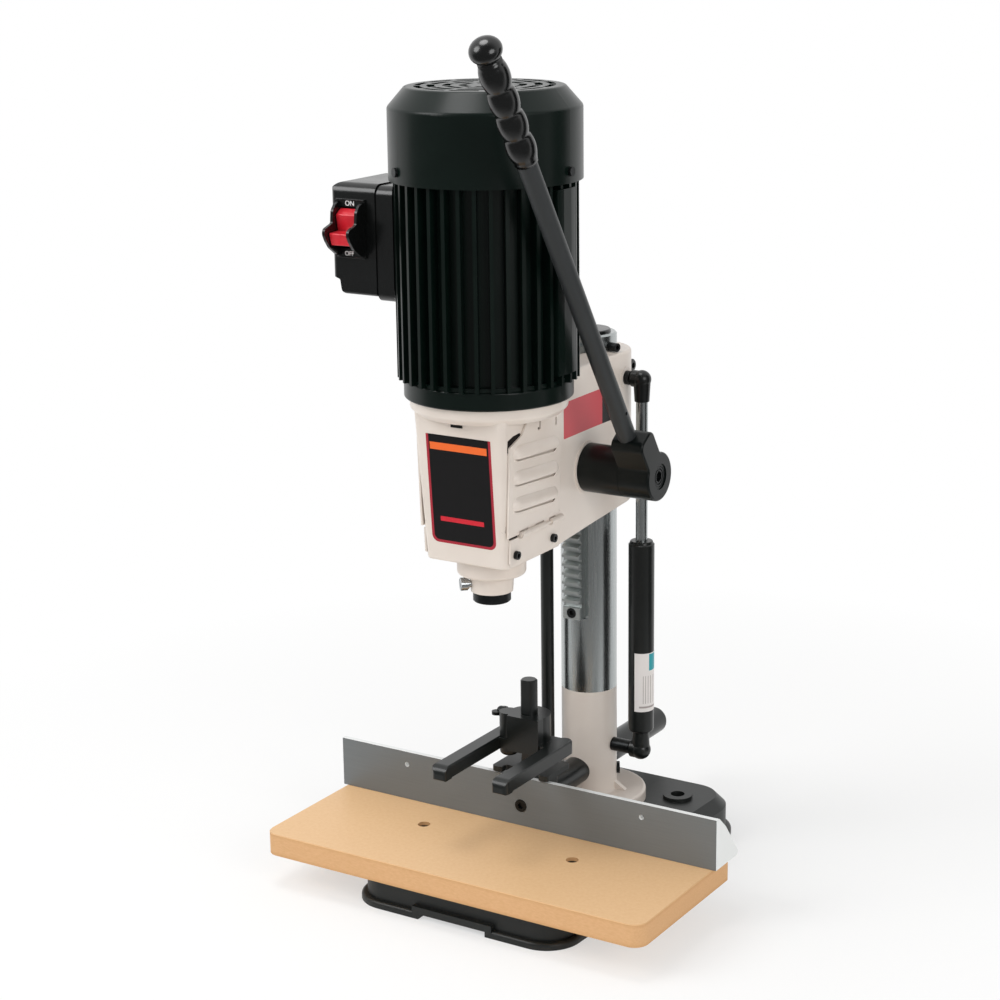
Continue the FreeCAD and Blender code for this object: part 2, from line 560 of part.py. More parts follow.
def fence_casting():
    """An angle casting: machined face, low foot, a gusset at each end, a boss for the rod."""
    low = fence_low_z()
    top = TABLE_SEAT_Z + TABLE_T + 1 + FENCE_H
    face, back, toe = FENCE_FACE_Y, FENCE_FACE_Y + FENCE_T, FENCE_FACE_Y + FENCE_TOE
    angle = side([(face, low), (toe, low, 1.5), (toe, low + 4, 1.5), (back, low + 5, 4), (back, top, 1.0),
                  (face, top)],
                 -FENCE_HALF, FENCE_HALF)
    gusset = [(face + 1, low + 1), (toe - 0.5, low + 1), (toe - 0.5, low + 4), (face + 17, top - 11, 6),
              (back, top - 0.4),
              (face + 1, top - 0.4)]
    ribs = [side(gusset, x0, x0 + FENCE_RIB_T)
            for x0 in (-FENCE_HALF, -FENCE_HALF / 2, FENCE_HALF / 2 - FENCE_RIB_T,
                       FENCE_HALF - FENCE_RIB_T)]
    fence = fused([angle] + ribs)
    tools = [rod(FENCE_HOLE_R, (x, face - 1, top - 11.5), Y_AXIS, 20) for x in (-FENCE_HOLE_X,
                                                                                FENCE_HOLE_X)]
    tools += [rod(4 + SEAT, (0, face - 1, ROD_Z), Y_AXIS, 20), rod(5.6, (0, face - 1, ROD_Z), Y_AXIS, 4.4)]
    tools.append(front([(-BRACKET_HALF - 1, low - 1), (BRACKET_HALF + 1, low - 1),
                        (BRACKET_HALF + 1, top + 1),
                        (-BRACKET_HALF - 1, top + 1)], back + 0.02, toe + 1))
    return cut_all(fence, tools)


def holddown_bracket():
    """The block behind the fence that joins the fence rod, the post and the fence."""
    low, back = fence_low_z() + 1, FENCE_FACE_Y + FENCE_T + 0.04
    body = plan([(-BRACKET_HALF, back, 2), (BRACKET_HALF, back, 2), (BRACKET_HALF, BRACKET_REAR_Y, 5),
                 (-BRACKET_HALF, BRACKET_REAR_Y, 5)], low, ARM_PLATE_Z[0] + 1)
    arms = [(-27, BRACKET_REAR_Y + 1, 3), (-27, FENCE_FACE_Y - 2, 3), (-17.5, FENCE_FACE_Y - 2, 3),
            (-17.5, back, 2),
            (17.5, back, 2), (17.5, FENCE_FACE_Y - 2, 3), (27, FENCE_FACE_Y - 2, 3),
            (27, BRACKET_REAR_Y + 1, 3)]
    plate = plan(arms, *ARM_PLATE_Z)
    block_shape = fused([body, plate])
    tools = [rod(ROD_R + SEAT, (0, ROD_FRONT_Y, ROD_Z), Y_AXIS, 30),
             rod(4 + SEAT, (0, FENCE_FACE_Y, ROD_Z), Y_AXIS, 30),
             rod(POST_R + SEAT, (0, POST_Y, ROD_Z + ROD_R + 4), Z_AXIS, 40)]
    return cut_all(block_shape, tools)


def fence_bolt():
    """Pulls the fence and its bracket up to the rod."""
    return cap_screw(5.3, 4.0, 4.0, 34.0, (0, FENCE_FACE_Y + 4.2 - 0.8, ROD_Z), Y_AXIS * -1)


def fence_rod():
    length = ROD_REAR_Y - ROD_FRONT_Y
    bar = turned([(0, 0), (ROD_R, 0), (ROD_R, length, 4), (0, length)], (0, ROD_FRONT_Y, ROD_Z), Y_AXIS)
    return bar.cut(rod(4 + SEAT, (0, ROD_FRONT_Y - 1, ROD_Z), Y_AXIS, 28))


def post_flat():
    return block(-POST_R, POST_R, POST_Y - POST_R - 1, POST_Y - POST_R + 1.3, ARM_PLATE_Z[1] + 3,
                 POST_TOP_Z + 1)


def holddown_post():
    post = rod(POST_R, (0, POST_Y, ROD_Z + ROD_R + 4.2), Z_AXIS, POST_TOP_Z - ROD_Z - ROD_R - 4.2)
    post = post.makeChamfer(1.2, edges_at(post, lambda p: abs(p.z - POST_TOP_Z) < 0.01))
    return post.cut(post_flat())


def holddown_fork():
    """A hub on the post and two prongs that hold the work down on each side of the chisel."""
    low, top = FORK_HUB_Z
    hub = rod(FORK_HUB_R, (0, POST_Y, low), Z_AXIS, top - low)
    lug = rod(FORK_LUG_R, (FORK_LUG_X, FORK_LUG_Y, FORK_LUG_LOW_Z), Z_AXIS, top - FORK_LUG_LOW_Z)
    lug = lug.makeFillet(4.0, edges_at(lug, lambda p: abs(p.z - FORK_LUG_LOW_Z) < 0.01))
    lug = fused([lug, block(FORK_LUG_X, 0, FORK_LUG_Y - 4, FORK_LUG_Y + 4, low, top)])
    brow = block(*FORK_FLAT_X, FORK_FLAT_Y, POST_Y, low, top)
    hub = fused([hub, lug, brow]).cut(block(-30, 30, POST_Y - 40, FORK_FLAT_Y, low - 1, top + 1))
    prong_low, prong_top = PRONG_Z
    bar = plan([(PRONG_X - PRONG_W / 2, PRONG_TIP_Y, 2), (PRONG_X + PRONG_W / 2, PRONG_TIP_Y, 4),
                (PRONG_X + PRONG_W / 2, PRONG_REAR_Y, 6.9), (PRONG_X - PRONG_W / 2, PRONG_REAR_Y, 6.9)],
               prong_low, prong_top)
    bar = bar.makeChamfer(1.0, edges_at(bar, lambda p: abs(p.z - prong_top) < 0.01))
    nib = plan([(PRONG_X - PRONG_W / 2, PRONG_TIP_Y, 2), (PRONG_X + PRONG_W / 2, PRONG_TIP_Y, 4),
                (PRONG_X + PRONG_W / 2, PRONG_TIP_Y + 12, 3), (PRONG_X - PRONG_W / 2, PRONG_TIP_Y + 12, 3)],
               prong_low - PRONG_NIB, prong_low + 1)
    nose = side([(PRONG_TIP_Y, prong_low - PRONG_NIB, 1), (PRONG_TIP_Y, prong_top, PRONG_NOSE_R), (PRONG_REAR_Y, prong_top),
                 (PRONG_REAR_Y, prong_low - PRONG_NIB)], PRONG_X - PRONG_W, PRONG_X + PRONG_W)
    prong = fused([bar, nib]).common(nose)
    bridge = plan([(-PRONG_X, POST_Y - 13, 0), (PRONG_X, POST_Y - 13, 0), (PRONG_X, POST_Y + 13, 0),
                   (-PRONG_X, POST_Y + 13, 0)], prong_low + 1.5, prong_top - 1)
    fork = fused([hub, bridge] + both_sides(prong))
    screw_way = V(0, POST_Y, THUMB_Z)
    tools = [rod(POST_R + RUN, (0, POST_Y, low - 5), Z_AXIS, 60),
             rod(2.5 + RUN, screw_way, outward(THUMB_ANGLE), 30)]
    return cut_all(fork, tools)


def holddown_thumbscrew():
    """A wing screw in the side of the hub, its wings level."""
    out = outward(THUMB_ANGLE)
    centre = V(0, POST_Y, THUMB_Z)
    head_start = centre + out * THUMB_HEAD
    shank = rod(2.5, centre + out * (POST_R + GAP), out, THUMB_HEAD - POST_R)
    head = turned([(0, 0), (4.5, 0), (4.5, 6.5, 3), (0, 6.5)], head_start, out)
    across = out.cross(Z_AXIS)
    wings = []
    for way in (-1, 1):
        middle = head_start + across * (5.0 * way) + out * 4.5
        wings.append(rod(4.0, middle - Z_AXIS * 1.4, Z_AXIS, 2.8))
    return fused([shank, head] + wings)


# ================================================================ head
def nose_plan(half, front_y, z):
    return outline([(half, front_y, NOSE_CORNER), (half, NOSE_REAR_Y, 2), (-half, NOSE_REAR_Y, 2),
                    (-half, front_y, NOSE_CORNER)], lambda p: V(p.x, p.y, z))


def nose_half(z):
    """Half width of the nose at a height."""
    share = (z - HEAD_BOTTOM_Z) / (MOTOR_SEAT_Z - HEAD_BOTTOM_Z)
    return NOSE_HALF_LOW + share * (NOSE_HALF_TOP - NOSE_HALF_LOW)


def nose_front(z):
    share = (z - HEAD_BOTTOM_Z) / (MOTOR_SEAT_Z - HEAD_BOTTOM_Z)
    return NOSE_FRONT_LOW + share * (NOSE_FRONT_TOP - NOSE_FRONT_LOW)


def side_lean():
    """Angle of the nose's side walls, in degrees from upright."""
    return math.degrees(math.atan2(NOSE_HALF_TOP - NOSE_HALF_LOW, MOTOR_SEAT_Z - HEAD_BOTTOM_Z))


def head_casting():
    """Nose with the chuck chamber, arm, and a split clamp round the column."""
    nose = loft([nose_plan(NOSE_HALF_LOW, NOSE_FRONT_LOW, HEAD_BOTTOM_Z),
                 nose_plan(NOSE_HALF_TOP, NOSE_FRONT_TOP, MOTOR_SEAT_Z - 1)])
    nose = nose.makeFillet(2.0, edges_at(nose, lambda p: abs(p.z - HEAD_BOTTOM_Z) < 0.01))
    arm_sides = side([(NOSE_REAR_Y - 12, HEAD_BOTTOM_Z + 0.5), (ARM_HALF + 30, HEAD_REAR_BOTTOM_Z + 2),
                      (ARM_HALF + 30, HEAD_TOP_Z), (SPINDLE_Y + BELL_R + GAP + 3, HEAD_TOP_Z),
                      (SPINDLE_Y + BELL_R + GAP, MOTOR_SEAT_Z - 1), (NOSE_REAR_Y - 12, MOTOR_SEAT_Z - 1)],
                      -60, 60)
    root = NOSE_HALF_LOW - 0.6
    arm_plan = plan([(root, NOSE_REAR_Y - 12), (ARM_HALF, -60, 60), (ARM_HALF, ARM_HALF, ARM_HALF - 0.01),
                     (-ARM_HALF, ARM_HALF, ARM_HALF - 0.01), (-ARM_HALF, -60, 60),
                     (-root, NOSE_REAR_Y - 12)],
                    HEAD_BOTTOM_Z - 5, HEAD_TOP_Z + 5)
    arm = arm_sides.common(arm_plan)
    arm = arm.makeFillet(2.5, edges_at(arm, lambda p: p.z > HEAD_TOP_Z - 0.01))
    disc = turned([(0, -MOTOR_FLANGE_T), (MOTOR_FLANGE_R - 5, -MOTOR_FLANGE_T, 3),
                   (MOTOR_FLANGE_R, -MOTOR_FLANGE_T + 5, 3),
                   (MOTOR_FLANGE_R, 0), (0, 0)], (0, SPINDLE_Y, MOTOR_SEAT_Z))
    ears = plan([(-CLAMP_HALF, CLAMP_Y - 9), (CLAMP_HALF, CLAMP_Y - 9), (CLAMP_HALF, CLAMP_Y + 10, 5),
                 (-CLAMP_HALF, CLAMP_Y + 10, 5)], CLAMP_Z - 11, CLAMP_Z + 11)
    stud_boss = rod(9, (ARM_HALF - 8, 0, STRUT_TOP_Z), X_AXIS, 8.5)
    hub_boss = rod(HUB_R + 1.5, (ARM_HALF - 6, PINION_Y, PINION_Z), X_AXIS, 7.5)
    head = fused([nose, arm, disc, ears, stud_boss, hub_boss])
    rise = CHAMBER_TOP_Z - CHAMBER_LOW_Z
    tools = [block(-80, 80, CHAMBER_FRONT_Y, CHAMBER_REAR_Y, CHAMBER_LOW_Z, CHAMBER_LOW_Z + rise),
             rod(25, (0, SPINDLE_Y, CHAMBER_TOP_Z - 5), Z_AXIS, 60),
             rod(SOCKET_SPIGOT_R + SEAT, (0, SPINDLE_Y, HEAD_BOTTOM_Z - 1), Z_AXIS,
                 SOCKET_TOP_Z - HEAD_BOTTOM_Z + 1.05),
             rod(BUSHING_R + 1, (0, SPINDLE_Y, HEAD_BOTTOM_Z), Z_AXIS, 80),
             rod(COLUMN_R + RUN, (0, 0, HEAD_BOTTOM_Z - 20), Z_AXIS, 200),
             block(-RACK_W / 2 - GAP, RACK_W / 2 + GAP, PITCH_LINE_Y - MODULE - 2 * GAP, 0,
                   HEAD_BOTTOM_Z - 20, HEAD_TOP_Z + 20),
             rod(PINION_ROOM_R, (-PINION_ROOM_HALF, PINION_Y, PINION_Z), X_AXIS, 2 * PINION_ROOM_HALF),
             block(-PINION_ROOM_HALF, PINION_ROOM_HALF, PINION_Y - PINION_ROOM_R, PINION_Y + PINION_ROOM_R,
                   HEAD_BOTTOM_Z - 5, PINION_Z),
             rod(BUSH_R + SEAT, (0, PINION_Y, PINION_Z), X_AXIS, 80),
             rod(BUSH_R + SEAT, (-ARM_HALF + 5, PINION_Y, PINION_Z), X_AXIS, 60),
             rod(STOP_R + GAP, (STOP_X, STOP_Y, HEAD_BOTTOM_Z - 20), Z_AXIS, 200),
             block(-1.5, 1.5, COLUMN_R - 4, 80, HEAD_BOTTOM_Z - 5, HEAD_TOP_Z + 5),
             rod(CLAMP_BOLT_R + RUN, (-40, CLAMP_Y, CLAMP_Z), X_AXIS, 80),
             rod(CLAMP_HEAD_R + 0.7, (CLAMP_HALF, CLAMP_Y, CLAMP_Z), X_AXIS, 30),
             rod(LOCK_HUB_R + 0.8, (-CLAMP_HALF, CLAMP_Y, CLAMP_Z), X_AXIS * -1, 30),
             rod(STUD_R + SEAT, (COLUMN_R + 2, 0, STRUT_TOP_Z), X_AXIS, 40),
             block(-PLUG_HALF - 0.05, PLUG_HALF + 0.05, -230, nose_front(PLUG_Z) + 6, PLUG_Z - 2.05,
                   PLUG_Z + 2.05)]
    tools += [on_side(rod(STRIP_SCREW_R + SEAT, (-6, y, STRIP_SCREW_UP), X_AXIS, 9), way)
              for way in (-1, 1) for y in STRIP_SCREW_YS]
    return cut_all(head, tools)


def front_plug():
    """A small black filler in the front wall, just under the motor flange."""
    face = nose_front(PLUG_Z)
    return block(-PLUG_HALF, PLUG_HALF, face - 1.2, face + 6 - 0.05, PLUG_Z - 2.0, PLUG_Z + 2.0)


def chisel_socket():
    """The collar under the nose; a short register centres it in the head."""
    socket = turned([(0, SOCKET_LOW_Z), (SOCKET_R - 1, SOCKET_LOW_Z), (SOCKET_R, COLLAR_LOW_Z, 2),
                     (COLLAR_R, COLLAR_LOW_Z, 3), (COLLAR_R, HEAD_BOTTOM_Z - 0.02),
                     (SOCKET_SPIGOT_R, HEAD_BOTTOM_Z - 0.02),
                     (SOCKET_SPIGOT_R, SOCKET_TOP_Z), (0, SOCKET_TOP_Z)], (0, SPINDLE_Y, 0))
    tools = [rod(BUSHING_R + SEAT, (0, SPINDLE_Y, SOCKET_LOW_Z - 1), Z_AXIS, 60),
             rod(CHISEL_SCREW_R + RUN, (0, SPINDLE_Y, CHISEL_SCREW_Z), outward(CHISEL_SCREW_ANGLE), 40)]
    return cut_all(socket, tools)


def chisel_bushing():
    """The split bush that takes the shank of the hollow chisel."""
    rim = rod(BUSHING_RIM_R, (0, SPINDLE_Y, BUSHING_LOW_Z), Z_AXIS, BUSHING_RIM_H)
    rim = rim.makeChamfer(0.8, edges_at(rim, lambda p: abs(p.z - BUSHING_LOW_Z) < 0.01))
    sleeve = rod(BUSHING_R, (0, SPINDLE_Y, BUSHING_LOW_Z), Z_AXIS, BUSHING_LEN)
    bush = fused([rim, sleeve])
    tools = [rod(BUSHING_BORE_R, (0, SPINDLE_Y, BUSHING_LOW_Z - 1), Z_AXIS, BUSHING_LEN + 2),
             rod(CHISEL_SCREW_R + RUN, (0, SPINDLE_Y, CHISEL_SCREW_Z), outward(CHISEL_SCREW_ANGLE), 30)]
    return cut_all(bush, tools)


def chisel_screw():
    """A slotted, knurled screw that grips the chisel."""
    out = outward(CHISEL_SCREW_ANGLE)
    centre = V(0, SPINDLE_Y, CHISEL_SCREW_Z)
    head_start = SOCKET_R + 2.2
    shank = rod(CHISEL_SCREW_R, centre + out * (BUSHING_BORE_R + 0.5), out, head_start - BUSHING_BORE_R)
    head = rod(5.3, centre + out * head_start, out, 5.5)
    collar = rod(4.2, centre + out * (head_start - 1.2), out, 2)
    slot = block(-0.7, 0.7, -7, 7, 0, 3)
    slot.Placement = FreeCAD.Placement(centre + out * (head_start + 3.6), FreeCAD.Rotation(Z_AXIS, out))
    return fused([shank, head, collar]).cut(slot)


# ================================================================ side doors
def on_side(shape, way):
    """Move a shape drawn as (out, along Y, up from the hinge) to the right or left side wall."""
    shape.Placement = FreeCAD.Placement(V(nose_half(HINGE_Z), 0, HINGE_Z),
                                        FreeCAD.Rotation(Y_AXIS, side_lean()))
    return shape if way > 0 else shape.mirror(V(0, 0, 0), X_AXIS)


def knuckles(spans):
    return [rod(KNUCKLE_R, (HINGE_OUT, y0, 0), Y_AXIS, y1 - y0) for y0, y1 in spans]


def sheet_outline(points, out, thick):
    """A sheet drawn in (y, up) corners, standing out from the side wall."""
    wire = outline(corners(points), lambda p: V(out, p.x, p.y))
    return Part.Face(wire).extrude(V(thick, 0, 0))


def louvre_lines():
    """Each louvre's ends, as (y, up) pairs; it drops a little towards the back."""
    y0, y1 = DOOR_FRONT_Y + 12.5, DOOR_REAR_Y - 11
    drop = (y1 - y0) * math.tan(math.radians(LOUVRE_TILT))
    return [((y0, height - HINGE_Z), (y1, height - HINGE_Z - drop)) for height in LOUVRE_HEIGHTS]


def louvre(radius, line):
    """A round bar with ball ends; only its outer side shows through the sheet."""
    axis_out = DOOR_OFF + DOOR_T - LOUVRE_R + LOUVRE_RISE
    start, end = V(axis_out, *line[0]), V(axis_out, *line[1])
    return fused([rod(radius, start, (end - start).normalize(), start.distanceToPoint(end)),
                  Part.makeSphere(radius, start), Part.makeSphere(radius, end)])


def louvre_slit(line):
    """Cuts the lower side of a louvre open."""
    (y0, up0), (y1, up1) = line
    below = LOUVRE_R + 1
    corners_low = [(y0 - 12, up0 - below), (y1 + 12, up1 - below), (y1 + 12, up1 - 2.2),
                   (y0 - 12, up0 - 2.2)]
    return sheet_outline(corners_low, DOOR_OFF + DOOR_T + 0.2, 20)


def door(way):
    top = DOOR_TOP_Z - HINGE_Z
    slots = [(DOOR_FRONT_Y, STRIP_KNUCKLES[0][0] - 0.6),
             (STRIP_KNUCKLES[1][1] + 0.6, STRIP_KNUCKLES[2][0] - 0.4)]
    foot = []
    for y0, y1 in slots:
        foot += [(y0, 3.4), (y0, 0.9), (y1, 0.9), (y1, 3.4)]
    sheet = sheet_outline(foot[1:] + [(DOOR_REAR_Y, 3.4), (DOOR_REAR_Y, top, 2),
                                      (DOOR_FRONT_Y + 24.5, top, 2),
                                      (DOOR_FRONT_Y + 17.5, top - 8.5, 3), (DOOR_FRONT_Y, top - 15, 2)],
                                      DOOR_OFF, DOOR_T)
    lines = louvre_lines()
    shape = fused([sheet] + [louvre(LOUVRE_R, line) for line in lines])
    shape = shape.common(block(DOOR_OFF, 20, -300, 0, -10, 200))
    shape = cut_all(shape, [louvre(LOUVRE_R - 1.3, line) for line in lines])
    shape = cut_all(shape, [louvre_slit(line) for line in lines])
    tabs = [block(DOOR_OFF, DOOR_OFF + DOOR_T, y0, y1, 0, 5) for y0, y1 in DOOR_KNUCKLES]
    shape = fused([shape] + tabs + knuckles(DOOR_KNUCKLES))
    holes = [rod(HINGE_PIN_R + RUN, (HINGE_OUT, -200, 0), Y_AXIS, 100),
             block(-5, 20, -151.1, -148.9, top - 9, top - 1),
             block(-5, 20, -153.2, -148.9, top - 9, top - 7),
             block(-5, 20, -126.6, -124.4, top - 10.5, top - 4)]
    return on_side(cut_all(shape, holes), way)


def hinge_leaf(way):
    """The fixed leaf, with the hinge pin swaged into its knuckles."""
    low = STRIP_LOW_Z - HINGE_Z
    strip = sheet_outline([(STRIP_FRONT_Y, low, 2), (DOOR_REAR_Y, low + 1.5, 2), (DOOR_REAR_Y, -1.5),
                           (STRIP_FRONT_Y, -1.5)], 0.02, DOOR_T)
    ears = [block(0.02, DOOR_T, y0, y1, -3, 0) for y0, y1 in STRIP_KNUCKLES]
    shape = fused([strip] + ears + knuckles(STRIP_KNUCKLES))
    shape = shape.common(block(0.02, 20, -300, 0, -100, 100))
    notches = [block(-1, 10, y0 - 0.3, y1 + 0.3, -3.8, 5) for y0, y1 in DOOR_KNUCKLES]
    y0, y1 = STRIP_KNUCKLES[0][0] - 0.5, STRIP_KNUCKLES[-1][1] + 0.5
    shape = fused([cut_all(shape, notches), rod(HINGE_PIN_R, (HINGE_OUT, y0, 0), Y_AXIS, y1 - y0)])
    holes = [rod(STRIP_SCREW_R + SEAT, (-1, y, STRIP_SCREW_UP), X_AXIS, 10) for y in STRIP_SCREW_YS]
    return on_side(cut_all(shape, holes), way)


def hinge_screws():
    screws = []
    for way in (1, -1):
        for y in STRIP_SCREW_YS:
            seat = (DOOR_T + 0.04, y, STRIP_SCREW_UP)
            screws.append(on_side(cap_screw(3.4, 3.0, STRIP_SCREW_R - 0.1, 4.5, seat, X_AXIS), way))
    return screws


# ================================================================ motor and spindle
def at_spindle(radius, z0, z1):
    return rod(radius, (0, SPINDLE_Y, z0), Z_AXIS, z1 - z0)


def motor_bell():
    """The lower end shield, with a pocket for its bearing."""
    low, top = MOTOR_SEAT_Z + 0.02, MOTOR_SEAT_Z + BELL_H
    shape = turned([(0, low), (BELL_R, low, 1.5), (BELL_R, top, 2), (0, top)], (0, SPINDLE_Y, 0))
    pilot = at_spindle(22, MOTOR_SEAT_Z - 8, low + 1)
    tools = [at_spindle(BEARING_R + SEAT, low - 2, low - 2 + BEARING_T + 0.02),
             at_spindle(SHAFT_R + 2, 400, 460)]
    return cut_all(fused([shape, pilot]), tools)


def motor_body():
    """The finned aluminium barrel, with flat pads for the rating plate and the switch box."""
    low, top = MOTOR_SEAT_Z + BELL_H + 0.02, BODY_TOP_Z
    fins = []
    for i in range(FIN_COUNT):
        fin = block(-FIN_T / 2, FIN_T / 2, -FIN_R, -CORE_R + 2, low, top)
        fin.rotate(V(0, 0, 0), Z_AXIS, 360.0 * (i + 0.5) / FIN_COUNT)
        fin.translate(V(0, SPINDLE_Y, 0))
        fins.append(fin)
    core = at_spindle(CORE_R, low, top)
    plate_pad = block(CORE_R - 6, FIN_R + 1, SPINDLE_Y - 13, SPINDLE_Y + 13, low + 8, COVER_LOW_Z - 4)
    box_pad = block(-FIN_R, -CORE_R + 8, SPINDLE_Y - 24, SPINDLE_Y + 24, BOX_LOW_Z + 4, BOX_TOP_Z - 4)
    foot_band = at_spindle(BELL_R, low, low + 3)
    shape = fused([core, foot_band, plate_pad, box_pad] + fins)
    reach = at_spindle(PAD_R, low, top)
    tools = [at_spindle(STATOR_R + SEAT, low + 4, top + 1), at_spindle(SHAFT_R + 2, low - 1, top),
             rod(7, (-FIN_R - 5, SPINDLE_Y, (BOX_LOW_Z + BOX_TOP_Z) / 2), X_AXIS, 30)]
    return cut_all(shape.common(reach), tools)


def rotor_span():
    low = MOTOR_SEAT_Z + BELL_H + 20
    return low, low + ROTOR_LEN


def stator():
    low, high = rotor_span()
    return ring(STATOR_R, ROTOR_R + 0.6, (0, SPINDLE_Y, low), Z_AXIS, high - low)


def motor_rotor():
    """The shaft, tapered at the bottom for the chuck, and the rotor pressed on it."""
    low, high = rotor_span()
    return turned([(0, CHUCK_TOP_Z - 20), (5.5, CHUCK_TOP_Z - 20), (6.5, CHUCK_TOP_Z),
                   (SHAFT_R, CHUCK_TOP_Z + 4),
                   (SHAFT_R, low), (ROTOR_R, low, 1), (ROTOR_R, high, 1), (SHAFT_R, high),
                   (SHAFT_R, SHAFT_TOP_Z - 1), (SHAFT_R - 1, SHAFT_TOP_Z), (0, SHAFT_TOP_Z)],
                   (0, SPINDLE_Y, 0))


def motor_top_shield():
    low, top = TOP_SHIELD_Z
    shape = turned([(0, low), (CORE_R + 3, low), (CORE_R + 3, top, 2), (26, top), (22, top + 6),
                    (0, top + 6)],
                   (0, SPINDLE_Y, 0))
    tools = [at_spindle(BEARING_R + SEAT, low - 1, top + 6 - 2), at_spindle(SHAFT_R + 2, low - 1, top + 10)]
    return cut_all(shape, tools)


def bearings():
    low_seat = MOTOR_SEAT_Z + 0.02 - 2 + BEARING_T
    top_seat = TOP_SHIELD_Z[1] + 6 - 2
    return [ring(BEARING_R, SHAFT_R + RUN, (0, SPINDLE_Y, z - BEARING_T), Z_AXIS, BEARING_T - 0.05)
            for z in (low_seat, top_seat)]


def cooling_fan():
    """A moulded hub with straight blades."""
    low = TOP_SHIELD_Z[1] + 9
    hub = ring(14, SHAFT_R + SEAT, (0, SPINDLE_Y, low), Z_AXIS, 24)
    disc = ring(FAN_R, SHAFT_R + SEAT, (0, SPINDLE_Y, low), Z_AXIS, 2.5)
    blades = []
    for i in range(8):
        blade = block(-1.2, 1.2, -FAN_R, -12, low, low + 22)
        blade.rotate(V(0, 0, 0), Z_AXIS, 45.0 * i)
        blade.translate(V(0, SPINDLE_Y, 0))
        blades.append(blade)
    return fused([hub, disc] + blades)


def vent_slot(inner, outer, count, index):
    """One arc slot of the fan cover's grille, with square ends."""
    step = 360.0 / count
    spare = math.degrees(VENT_BAR / 2 / inner)
    a0, a1 = index * step + spare, (index + 1) * step - spare
    centre = (0, SPINDLE_Y)
    z = COVER_TOP_Z - 6
    arcs = [Part.Arc(polar(r, a0, z, centre), polar(r, (a0 + a1) / 2, z, centre),
                     polar(r, a1, z, centre)).toShape()
            for r in (inner, outer)]
    ends = [Part.makeLine(polar(inner, a, z, centre), polar(outer, a, z, centre)) for a in (a0, a1)]
    wire = Part.Wire([arcs[0], ends[1], arcs[1], ends[0]])
    return Part.Face(wire).extrude(V(0, 0, 12))


def fan_cover():
    t = COVER_WALL
    low, edge, top = COVER_LOW_Z, COVER_EDGE_Z, COVER_TOP_Z
    shell = turned([(COVER_R - t, low), (COVER_R, low), (COVER_R, edge, 4), (COVER_TOP_R, top, 3), (0, top),
                    (0, top - t),
                    (COVER_TOP_R - 1, top - t, 2), (COVER_R - t, edge - 0.8, 3)], (0, SPINDLE_Y, 0))
    slots = [vent_slot(inner, outer, count, i) for inner, outer, count in VENT_RINGS for i in range(count)]
    holes = [rod(2.0 + SEAT, (0, SPINDLE_Y, COVER_SCREW_Z), outward(a), 90) for a in COVER_SCREW_ANGLES]
    return cut_all(shell, slots + holes)


def cover_screws():
    """Each goes through the cover into the rim of the upper end shield."""
    centre = V(0, SPINDLE_Y, COVER_SCREW_Z)
    screws = []
    for angle in COVER_SCREW_ANGLES:
        out = outward(angle)
        head = rod(3.6, centre + out * (COVER_R + 0.02), out, 2.2)
        shank = rod(2.0, centre + out * (CORE_R + 3.1), out, COVER_R - CORE_R - 2)
        screws.append(fused([head, shank]))
    return screws


def drill_chuck():
    """The keyed chuck's body, on the end of the motor shaft."""
    body = turned([(0, CHUCK_LOW_Z + 6), (CHUCK_R - 5, CHUCK_LOW_Z + 6), (CHUCK_R - 3, CHUCK_LOW_Z + 22),
                   (CHUCK_R - 3, CHUCK_TOP_Z - 3, 1), (CHUCK_R - 5, CHUCK_TOP_Z), (0, CHUCK_TOP_Z)],
                   (0, SPINDLE_Y, 0))
    socket = turned([(0, CHUCK_TOP_Z - 20.1), (5.52, CHUCK_TOP_Z - 20.1), (6.52, CHUCK_TOP_Z + 0.01),
                     (0, CHUCK_TOP_Z + 1)],
                    (0, SPINDLE_Y, 0))
    key_holes = [rod(2.5, (0, SPINDLE_Y, CHUCK_LOW_Z + 30), outward(a), 30) for a in (30, 150, 270)]
    return cut_all(body, [socket, at_spindle(4, CHUCK_LOW_Z, CHUCK_LOW_Z + 20)] + key_holes)


def chuck_sleeve():
    """The geared sleeve that the chuck key turns."""
    low, top = CHUCK_LOW_Z + 3, CHUCK_LOW_Z + 22
    sleeve = turned([(CHUCK_R - 4, low), (CHUCK_R - 1.5, low), (CHUCK_R, low + 3), (CHUCK_R, top),
                     (CHUCK_R - 2.5, top),
                     (CHUCK_R - 2.5, top - 8), (CHUCK_R - 4, low + 3)], (0, SPINDLE_Y, 0))
    grooves = []
    for i in range(18):
        grooves.append(rod(0.9, polar(CHUCK_R + 0.3, 20 * i, low - 1, (0, SPINDLE_Y)), Z_AXIS,
                           top - low + 2))
    return cut_all(sleeve, grooves)


# ================================================================ switch box
def box_front_y():
    return SPINDLE_Y - BOX_HALF_DEPTH


def switch_box_base():
    """The inner half of the switch box, screwed to the motor."""
    y0, y1 = box_front_y() + 1, SPINDLE_Y + BOX_HALF_DEPTH - 1
    low, top = BOX_LOW_Z - 4, BOX_TOP_Z - 1
    outer = side([(y0, low, 8), (y1, low, 8), (y1, top, 8), (y0, top, 8)], BOX_SEAM_X + 0.02,
                 -(CORE_R - 14.5))
    inner = side([(y0 + 3, low + 3, 6), (y1 - 3, low + 3, 6), (y1 - 3, top - 3, 6), (y0 + 3, top - 3, 6)],
                 BOX_SEAM_X - 1,
                 -FIN_R - 3)
    motor = at_spindle(PAD_R + SEAT, low - 10, top + 20)
    wire_way = rod(7, (-FIN_R - 6, SPINDLE_Y, (BOX_LOW_Z + BOX_TOP_Z) / 2), X_AXIS, 10)
    return cut_all(outer, [inner, motor, wire_way])


